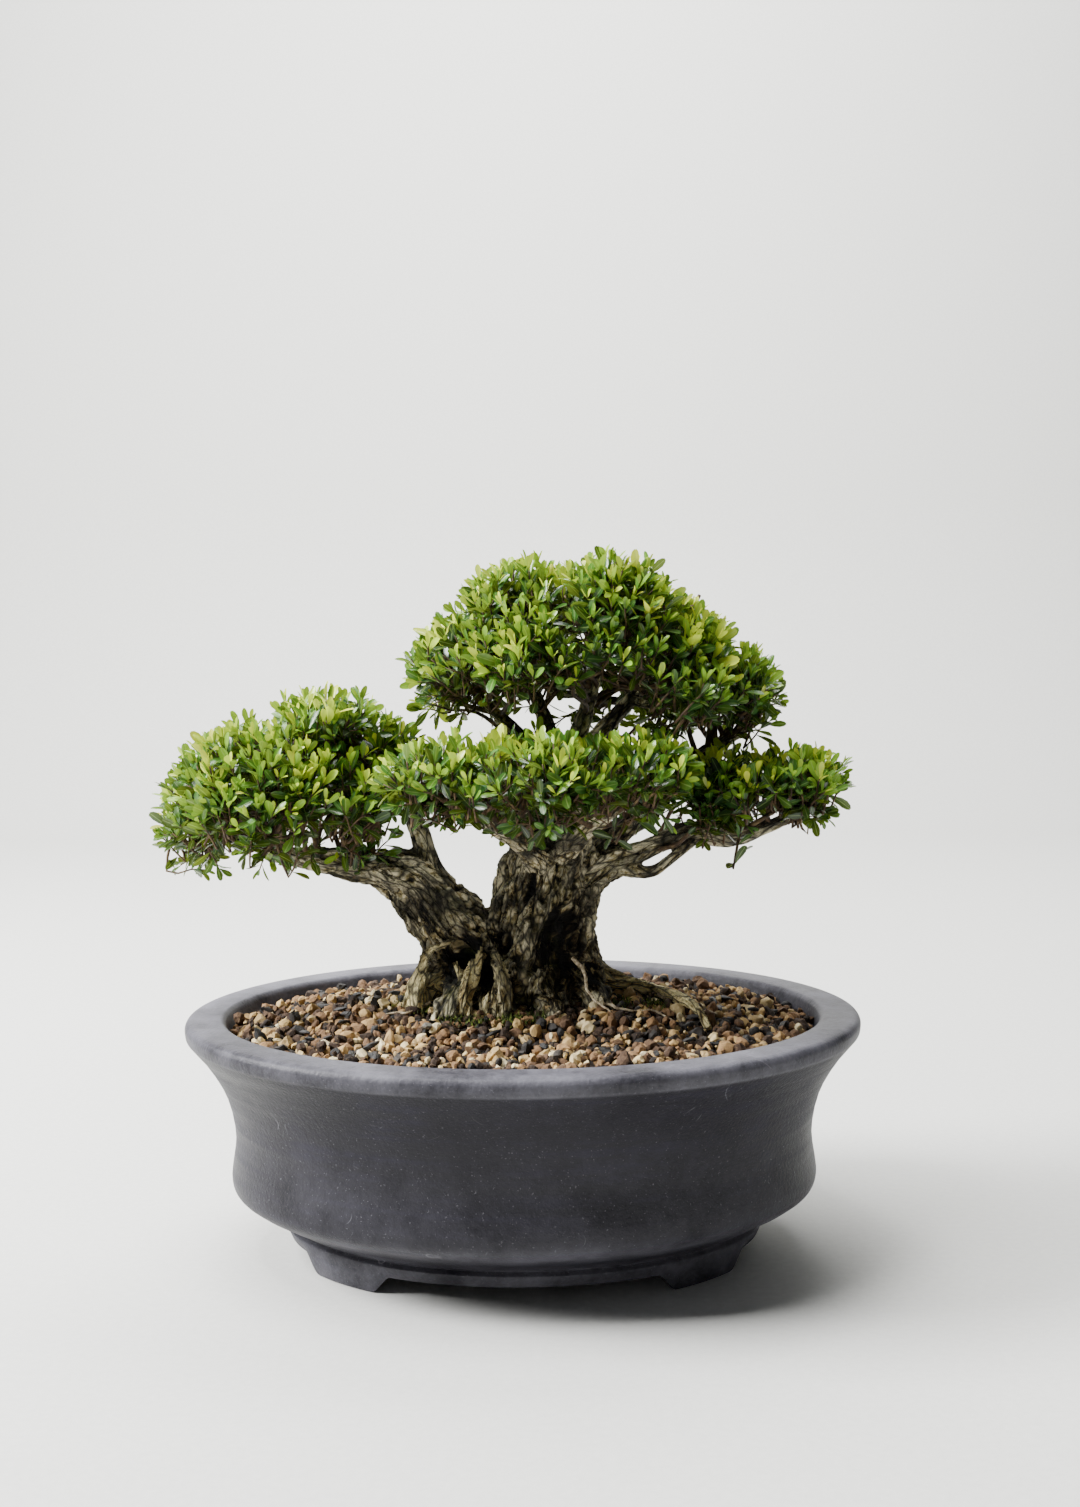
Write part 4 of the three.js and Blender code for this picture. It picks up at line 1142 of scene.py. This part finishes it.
# %% [markdown]
# Moss settles where the foot of the trunk stays damp. It is a cushion of tiny plants, soft and quite matte, in
# olive greens that change from plant to plant. Each plant is one pointed blade with four faces, and a cushion
# of them is made as arrays, as the leaves are later. A real blade is about half as wide, too fine to show.

# %% Moss at the foot
MOSS_SPOTS = [(-30, -36), (-20, -40), (-44, -22), (-4, -40), (6, -38), (44, -17), (58, -15), (46, 16),
              (-34, 26), (8, 38), (-52, -8)]
BLADES = 110  # on each spot
moss_random = np.random.default_rng(23)
spots = np.repeat(np.array(MOSS_SPOTS, float), BLADES, axis=0)
spots = spots + moss_random.normal(0, 3.0, spots.shape)
feet = on_mound(spots, 0.6 + 1.6 * moss_random.random(len(spots)))
blade_up = unit(moss_random.normal(0, 0.5, (len(feet), 3)) + [0, 0, 1])
blade_side = unit(np.cross(blade_up, moss_random.normal(size=blade_up.shape)))
blade_out = np.cross(blade_up, blade_side)
tall = moss_random.uniform(1.2, 2.6, (len(feet), 1))
corners = [feet + 0.42 * (blade_side * math.cos(a) + blade_out * math.sin(a)) for a in (0, 2.1, 4.2)]
blades = np.stack([*corners, feet + blade_up * tall], axis=1)
blade_faces = np.array([[0, 1, 3], [1, 2, 3], [2, 0, 3], [0, 2, 1]]) + 4 * np.arange(len(feet))[:, None, None]
moss_mesh = new_mesh("moss", blades.reshape(-1, 3), (), blade_faces.reshape(-1, 3))
paint(moss_mesh, "tint", np.repeat(moss_random.random(len(feet)), 4))
moss_green, shader = new_material("living_moss", IOR=1.4, Roughness=0.8)
tint = add(moss_green, "ShaderNodeAttribute", attribute_name="tint").outputs["Fac"]
tone = add(moss_green, "ShaderNodeValToRGB", links={"Fac": tint},
           stops=[(0.0, "#20280c"), (0.5, "#3d4a16"), (1.0, "#6d7a2a")])
join_up(moss_green, tone.outputs["Color"], shader, "Base Color")
new_piece("moss_at_the_foot", moss_mesh, moss_green, smooth=False)

# %% [markdown]
# ## The foliage
# Harland boxwood carries small spoon-shaped leaves, about 10 mm long and 4 mm wide: narrow at the stalk,
# widest past the middle, with a blunt tip. They sit in opposite pairs on short shoots, each pair turned a
# quarter from the one below, so a shoot seen from its tip looks like a small green rosette. The pads are
# clipped into domes, so the shoots end on a smooth surface and point outwards and up. Underneath, few leaves
# grow and the twigs show.
#
# Hair or instances would draw this quickly, but they aren't real mesh. Instead the shoots are laid out as
# arrays: a point on the pad's surface, a heading, and a few pairs of leaves at set distances down
# from the tip. One leaf is drawn once and set in all those places in one step.

# %% The surface of a pad
# Each spray is an egg-shaped lump, and the lumps of one pad melt together. The sum of their pulls is 1 on
# the pad's surface, more inside it and less outside.
PULL = 2.6  # the higher, the less the lumps melt together
TIP_INSET = 5.0  # mm, how far inside the sprays' boxes the shoots end
SHOOT_PITCH = 6.7  # mm between the tips of neighbouring shoots
# Where the shears cut lower or the growth stands higher than a spray's box: how far the middle of its lump
# goes, and the share of its half-sizes that stays. The last entry is the lump that joins the sprays.
SHEARED = {
    "crown": {0: ((-8, 0, -9), (0.8, 0.95, 0.8)), 1: ((3, 0, -4), (0.95, 1, 0.95)),
              -1: ((-5, 0, -2), (0.9, 1, 0.97))},
    "left": {0: ((0, 0, 6), (1, 1, 1)), 1: ((5, 0, -7), (0.95, 1, 0.95))},
}
# Loose growth that runs from one pad towards the next, or hangs in front of a limb: middles and half-sizes.
STRAYS = {
    "left": [((-60, -2, 219), (21, 19, 20)), ((-90, -15, 182), (37, 15, 12)), ((-76, -20, 180), (20, 12, 13))],
    "front": [((-34, -36, 208), (17, 15, 13))],
    "right": [((88, -12, 199), (20, 14, 12))],
}


def lumps_of(pad):
    """The middles and half-sizes of a pad's lumps: one for each spray, one that joins them into a dome, and
    the loose growth."""
    middles, halves = spray_boxes(pad)
    low, high = (middles - halves).min(0), (middles + halves).max(0)
    middles = np.vstack([middles, (low + high) / 2])
    halves = np.vstack([halves, (high - low) * [0.45, 0.45, 0.42]])
    for number, (shift, share) in SHEARED.get(pad, {}).items():
        middles[number] += shift
        halves[number] *= share
    strays = STRAYS.get(pad, [])
    return (
        np.vstack([middles, *[middle for middle, _ in strays]]),
        np.vstack([halves, *[half for _, half in strays]]),
    )


def pull_at(points, middles, halves):
    apart = ((points[:, None] - middles) / halves) ** 2
    return np.exp(-PULL * (apart.sum(2) - 1)).sum(1)


def even_directions(count):
    """Directions spread evenly over a ball, by the golden angle."""
    height = 1 - (2 * np.arange(count) + 1) / count
    turn = np.arange(count) * math.pi * (3 - math.sqrt(5))
    out = np.sqrt(1 - height * height)
    return np.column_stack([out * np.cos(turn), out * np.sin(turn), height])


def pad_surface(middles, halves, pitch, random):
    """Points spread over a pad's surface, with the directions that lead straight out of it."""
    points, ways = [], []
    for i, (middle, half) in enumerate(zip(middles, halves)):
        area = 4 * math.pi * (np.prod(half) ** (2 / 3))
        directions = even_directions(int(area / pitch**2))
        directions = unit(directions + random.normal(0, 0.05, directions.shape))
        reach = np.full(len(directions), 2.0)
        low = np.full(len(directions), 0.2)
        for step in np.linspace(2.0, 0.2, 37):
            inside = pull_at(middle + directions * half * step, middles, halves) >= 1
            first = inside & (low == 0.2)
            low[first], reach[first] = step, step + 0.05
        found = middle + directions * half * ((low + reach) / 2)[:, None]
        nearest = (((found[:, None] - middles) / halves) ** 2).sum(2).argmin(1)
        kept = nearest == i
        found = found[kept]
        apart = (found[:, None] - middles) / halves
        weight = np.exp(-PULL * (apart**2).sum(2))
        outward = unit((apart / halves * weight[:, :, None]).sum(1))
        points.append(found)
        ways.append(outward)
    return np.vstack(points), np.vstack(ways)


# %% The shoots of a pad
UNDERSIDE = -0.12  # a shoot whose way out points lower than this is on the underside
UNDERSIDE_SHARE = 0.14  # of which this many are kept
INNER_SHARE = 0.35  # inner shoots, as a share of the outer ones
BARE_MIDDLE, BARE_HALF = (27, -21, 245), (56, 42, 19)  # under the crown, where the fanned limbs stand bare
BARE_SHARE = 0.06
LEAF_STEPS = np.array([0.3, 2.2, 5.2, 9.0, 13.4])  # mm from the tip down to each pair of leaves
LEAF_TILTS = np.radians([16, 36, 53, 66, 76])  # away from the shoot's own heading
LEAF_SIZES = np.array([0.62, 0.86, 1.0, 1.02, 0.9])
LEAF_AGES = np.array([0.96, 0.68, 0.38, 0.2, 0.08])  # 1 is a leaf that has just opened
LEAF_LENGTH, LEAF_WIDTH = 9.8, 3.7
PATCH_SIZE = 26.0  # mm, the size of the patches in which the shoots are younger or older
FLUSH_SHARE = 0.02  # of the shoots, those that have just run up with long yellow leaves


def shoots_of(middles, halves, random):
    """Tips, headings and vigour of one pad's shoots. Inner ones have little vigour."""
    tips, ways = pad_surface(middles, halves - TIP_INSET, SHOOT_PITCH, random)
    keep = (ways[:, 2] > UNDERSIDE) | (random.random(len(tips)) < UNDERSIDE_SHARE)
    bare = (((tips - BARE_MIDDLE) / BARE_HALF) ** 2).sum(1) < 1
    keep &= ~bare | (random.random(len(tips)) < BARE_SHARE)
    tips, ways = tips[keep], ways[keep]
    inner = random.random(len(tips)) < INNER_SHARE
    depth = random.uniform(9, 17, inner.sum())
    inner_tips = tips[inner] - ways[inner] * depth[:, None] + random.normal(0, 3.0, (inner.sum(), 3))
    patch = noise_at(tips, PATCH_SIZE, 5.0)
    # Shoots that look up to the light are livelier, in patches and by chance.
    lively = np.clip(0.34 + 0.46 * ways[:, 2] + 0.32 * patch + random.normal(0, 0.24, len(tips)), 0.03, 1)
    vigour = np.concatenate([lively, np.zeros(inner.sum())])
    tips = np.vstack([tips + random.normal(0, 1.2, tips.shape) - ways * random.uniform(0, 4, (len(tips), 1)),
                      inner_tips])
    ways = np.vstack([ways, ways[inner]])
    headings = unit(ways * 0.8 + [0, 0, 0.42] + random.normal(0, 0.26, ways.shape))
    return tips, headings, vigour


print("a full shoot carries", 2 * len(LEAF_STEPS), "leaves")

# %% One leaf, and how it is set many times
# Stations from stalk to tip: share of the length, share of the half-width. A rim, the rib and the other rim
# cross each one.
LEAF_STATIONS = [(0.0, 0.12), (0.2, 0.42), (0.44, 0.84), (0.7, 1.0), (0.9, 0.7), (1.0, 0.18)]
LEAF_ACROSS = np.array([-1, 0, 1])
leaf_u = np.array([[u] * 3 for u, _ in LEAF_STATIONS]).ravel()
leaf_v = np.array([LEAF_ACROSS * w for _, w in LEAF_STATIONS]).ravel()
leaf_rim = np.tile(LEAF_ACROSS, len(LEAF_STATIONS))
leaf_u[-2] -= 0.03  # the slight notch in the blunt tip
leaf_quads = np.array([
    [r * 3 + c, r * 3 + c + 1, r * 3 + c + 4, r * 3 + c + 3]
    for r in range(len(LEAF_STATIONS) - 1) for c in range(2)
])


def set_leaves(roots, along, up, roll, length, width, cup, droop):
    """The points of many leaves. roll turns them about their ribs, cup lifts their rims and droop bends their
    tips down."""
    across = unit(np.cross(along, up))
    up = np.cross(across, along)
    across, up = (
        across * np.cos(roll)[:, None] + up * np.sin(roll)[:, None],
        up * np.cos(roll)[:, None] - across * np.sin(roll)[:, None],
    )
    rise = cup[:, None] * width[:, None] * np.abs(leaf_v)
    fall = droop[:, None] * length[:, None] * leaf_u**2
    return (
        roots[:, None]
        + along[:, None] * (length[:, None] * leaf_u)[..., None]
        + across[:, None] * (width[:, None] * leaf_v / 2)[..., None]
        + up[:, None] * (rise - fall)[..., None]
    )


print("one leaf:", len(leaf_quads), "faces,", LEAF_LENGTH, "by", LEAF_WIDTH, "mm")

# %% [markdown]
# ### Boxwood leaves
# A boxwood leaf is thick and leathery, with a waxy skin: glossy on top, so each leaf catches the window as a
# small bright patch. New leaves are a soft yellow-green and let light through. Old ones are dark and
# bluish. Age, chance and the place across the leaf are stored on its points. The ramp runs from old
# to new, the rib is a pale line down the middle, and a share of the light passes through the blade.

# %% Leaf
leaf, shader = new_material("waxy_boxwood_leaf", IOR=1.47, Roughness=0.27)
place = add(leaf, "ShaderNodeTexCoord").outputs["Object"]
tint = add(leaf, "ShaderNodeAttribute", attribute_name="tint").outputs["Vector"]
parts = add(leaf, "ShaderNodeSeparateXYZ", links={"Vector": tint}).outputs
mottle = add(leaf, "ShaderNodeTexNoise", {"Scale": 1 / (2.2 * MM), "Detail": 3.0},
             {"Vector": place}).outputs["Fac"]
aged = add(leaf, "ShaderNodeMath", {1: 0.22}, {0: parts["Y"], 2: parts["X"]},
           operation="MULTIPLY_ADD").outputs[0]
mottled = add(leaf, "ShaderNodeMath", {1: 0.14}, {0: mottle, 2: aged}, operation="MULTIPLY_ADD").outputs[0]
green = add(
    leaf, "ShaderNodeValToRGB", links={"Fac": mottled},
    stops=[(0.1, "#09170a"), (0.34, "#1b3e16"), (0.55, "#437325"), (0.78, "#8ab235"), (1.0, "#cbd848")],
).outputs["Color"]
odd = add(leaf, "ShaderNodeValToRGB", links={"Fac": parts["Y"]}, stops=[(0.86, 0.0), (0.93, 0.5)])
odd_colour = add(leaf, "ShaderNodeValToRGB", links={"Fac": aged},
                 stops=[(0.3, "#1f4a2c"), (0.6, "#3f7a45"), (0.85, "#d8cf4c")]).outputs["Color"]
green = add(leaf, "ShaderNodeMix", links={FACTOR: odd.outputs["Color"], FIRST: green, SECOND: odd_colour},
            data_type="RGBA").outputs[MIXED]
from_rib = add(leaf, "ShaderNodeMath", links={0: parts["Z"]}, operation="ABSOLUTE").outputs[0]
rib = add(leaf, "ShaderNodeValToRGB", links={"Fac": from_rib},
          stops=[(0.04, 0.45), (0.16, 0.0)]).outputs["Color"]
ribbed = add(leaf, "ShaderNodeMix", {SECOND: linear("#a3bd6a")}, {FACTOR: rib, FIRST: green},
             data_type="RGBA").outputs[MIXED]
join_up(leaf, ribbed, shader, "Base Color")
veins = add(leaf, "ShaderNodeMath", {1: 0.5}, {0: rib, 2: mottle}, operation="MULTIPLY_ADD").outputs[0]
bump = add(leaf, "ShaderNodeBump", {"Strength": 0.25, "Distance": 0.0003}, {"Height": veins})
join_up(leaf, bump.outputs[0], shader, "Normal")
glow = add(leaf, "ShaderNodeMix", {FACTOR: 0.5, SECOND: linear("#bfd648")}, {FIRST: green},
           data_type="RGBA").outputs[MIXED]
through = add(leaf, "ShaderNodeBsdfTranslucent", links={"Color": glow}).outputs[0]
blade = add(leaf, "ShaderNodeMixShader", {0: 0.2}, {1: shader.outputs[0], 2: through}).outputs[0]
join_up(leaf, blade, leaf.node_tree.nodes["Material Output"], "Surface")
print("leaf:", len(leaf.node_tree.nodes), "nodes")

# %% [markdown]
# The young stems between the leaves and the limbs are smooth and thin, half a millimetre to three across.
# Their skin is brown with a green cast and much finer than bark: to the eye a dull, even brown with flecks of
# about 3 mm.

# %% Young bark
young, _, _ = flecked_material(
    "young_boxwood_stem", 3, 4.0, [(0.3, "#281d12"), (0.5, "#503c26"), (0.72, "#7c6844")], 0.4, 0.2,
    IOR=1.45, Roughness=0.7,
)
print("young bark:", len(young.node_tree.nodes), "nodes")

# %% Leaves and stems of every pad
BRANCHLETS = 7  # for each spray
FANS = {"crown": 90, "left": 44, "front": 36, "right": 14, "back": 18}
FAN_LENGTH = 36.0  # mm
leaf_random = np.random.default_rng(41)


def stems_of(tips, headings, hubs, random):
    """Fine tubes: some branchlets from each hub, and from the nearest of them a stem to each shoot's tip."""
    ends = np.vstack([
        hub + unit(even_directions(BRANCHLETS) + [0, 0, 0.35]) * random.uniform(9, 15, (BRANCHLETS, 1))
        for hub in hubs
    ])
    made = []
    for i, end in enumerate(ends):
        hub = hubs[i // BRANCHLETS]
        bend = (hub + end) / 2 + random.normal(0, 1.5, 3)
        made.append(tube(smooth_line([hub, bend, end], 5), np.linspace(1.3, 0.8, 5), 5))
    for tip, heading in zip(tips, headings):
        start = ends[np.argmin(np.linalg.norm(ends - (tip - 12 * heading), axis=1))]
        low = tip - heading * 17 + random.normal(0, 0.8, 3) - [0, 0, 2]
        line = smooth_line([start, low, tip - 6 * heading, tip], 7)
        made.append(tube(line, np.linspace(0.75, 0.32, 7), 4))
    return made


def fanned(tips, headings, limbs, count, random):
    """Bare branchlets that fan up from the limbs to some of the shoots, as they show under a clipped dome."""
    starts = np.vstack([smooth_line(path, 25)[8:] for path, _ in limbs])
    made = []
    for i in random.choice(len(tips), count, replace=False):
        below = starts[starts[:, 2] < tips[i][2] - 14]
        if not len(below):
            continue
        away = below - tips[i]
        length = np.linalg.norm(away, axis=1)
        best = np.argmin(np.abs(length - FAN_LENGTH) + 0.8 * np.hypot(away[:, 0], away[:, 1]))
        if length[best] > 1.5 * FAN_LENGTH:
            continue
        start = below[best]
        end = tips[i] - 7 * headings[i]
        elbow = start + (end - start) * 0.45 + random.normal(0, 2.5, 3)
        joint = start + (end - start) * 0.75 + random.normal(0, 2.0, 3)
        made.append(tube(smooth_line([start, elbow, joint, end], 9), np.linspace(1.5, 0.6, 9), 5))
    return made


def grow_pad(pad):
    """The leaves and the stems of one pad, as two pieces."""
    random = leaf_random
    tips, headings, vigour = shoots_of(*lumps_of(pad), random)
    side = unit(np.cross(headings, random.normal(size=headings.shape)))
    other = np.cross(headings, side)
    spread = random.uniform(0.72, 1.2, len(tips)) * (1.1 - 0.25 * vigour)
    flush = (vigour > 0.5) & (random.random(len(tips)) < FLUSH_SHARE)
    sets, tints = [], []
    for j, (step, tilt, size, age) in enumerate(zip(LEAF_STEPS, LEAF_TILTS, LEAF_SIZES, LEAF_AGES)):
        for half_turn in (0, math.pi):
            turn = j * math.pi / 2 + half_turn + random.normal(0, 0.2, len(tips))
            out = side * np.cos(turn)[:, None] + other * np.sin(turn)[:, None]
            lean = np.clip(tilt * spread + random.normal(0, 0.16, len(tips)), 0.12, 1.9)
            along = unit(headings * np.cos(lean)[:, None] + out * np.sin(lean)[:, None]
                         + random.normal(0, 0.15, out.shape) + [0, 0, 0.12])
            up = unit(headings * np.sin(lean)[:, None] - out * np.cos(lean)[:, None] + [0, 0, 0.25])
            roots = tips - headings * step + out * 0.4 - [0, 0, 0.004 * step**2]
            scale = size * random.uniform(0.74, 1.18, len(tips))
            scale = scale * (0.92 + 0.12 * vigour + 0.35 * flush * (j < 3))
            leaves = set_leaves(
                roots, along, up, random.normal(0, 0.55, len(tips)), LEAF_LENGTH * scale,
                LEAF_WIDTH * scale * random.uniform(0.85, 1.12, len(tips)),
                random.uniform(0.06, 0.24, len(tips)), random.uniform(-0.06, 0.2, len(tips)),
            )
            kept = random.random(len(tips)) > (0.04 if j < 3 else 0.16)
            sets.append(leaves[kept])
            freshness = age * (0.28 + 0.72 * vigour) + 0.5 * flush * (j < 3)
            tint = np.empty((kept.sum(), len(leaf_u), 3))
            tint[..., 0] = freshness[kept][:, None]
            tint[..., 1] = random.random(kept.sum())[:, None]
            tint[..., 2] = leaf_rim
            tints.append(tint)
    points = np.concatenate(sets)
    starts = np.arange(len(points))[:, None, None] * len(leaf_u)
    mesh = new_mesh(f"{pad}_leaves", points.reshape(-1, 3), (leaf_quads + starts).reshape(-1, 4))
    paint(mesh, "tint", np.concatenate(tints).reshape(-1, 3))
    nodes = [node for node in SPRAYS if node.startswith(pad)]
    new_piece(f"{pad}_leaves", mesh, leaf, nodes)
    hubs = spray_boxes(pad)[0]
    fans = fanned(tips, headings, PAD_LIMBS[pad], FANS[pad], random)
    stem_mesh = new_mesh(f"{pad}_stems", *gathered(fans + stems_of(tips, headings, hubs, random)))
    new_piece(f"{pad}_stems", stem_mesh, young)
    return len(tips), len(points)


for pad in PAD_LIMBS:
    print(pad, "pad: shoots and leaves", grow_pad(pad))
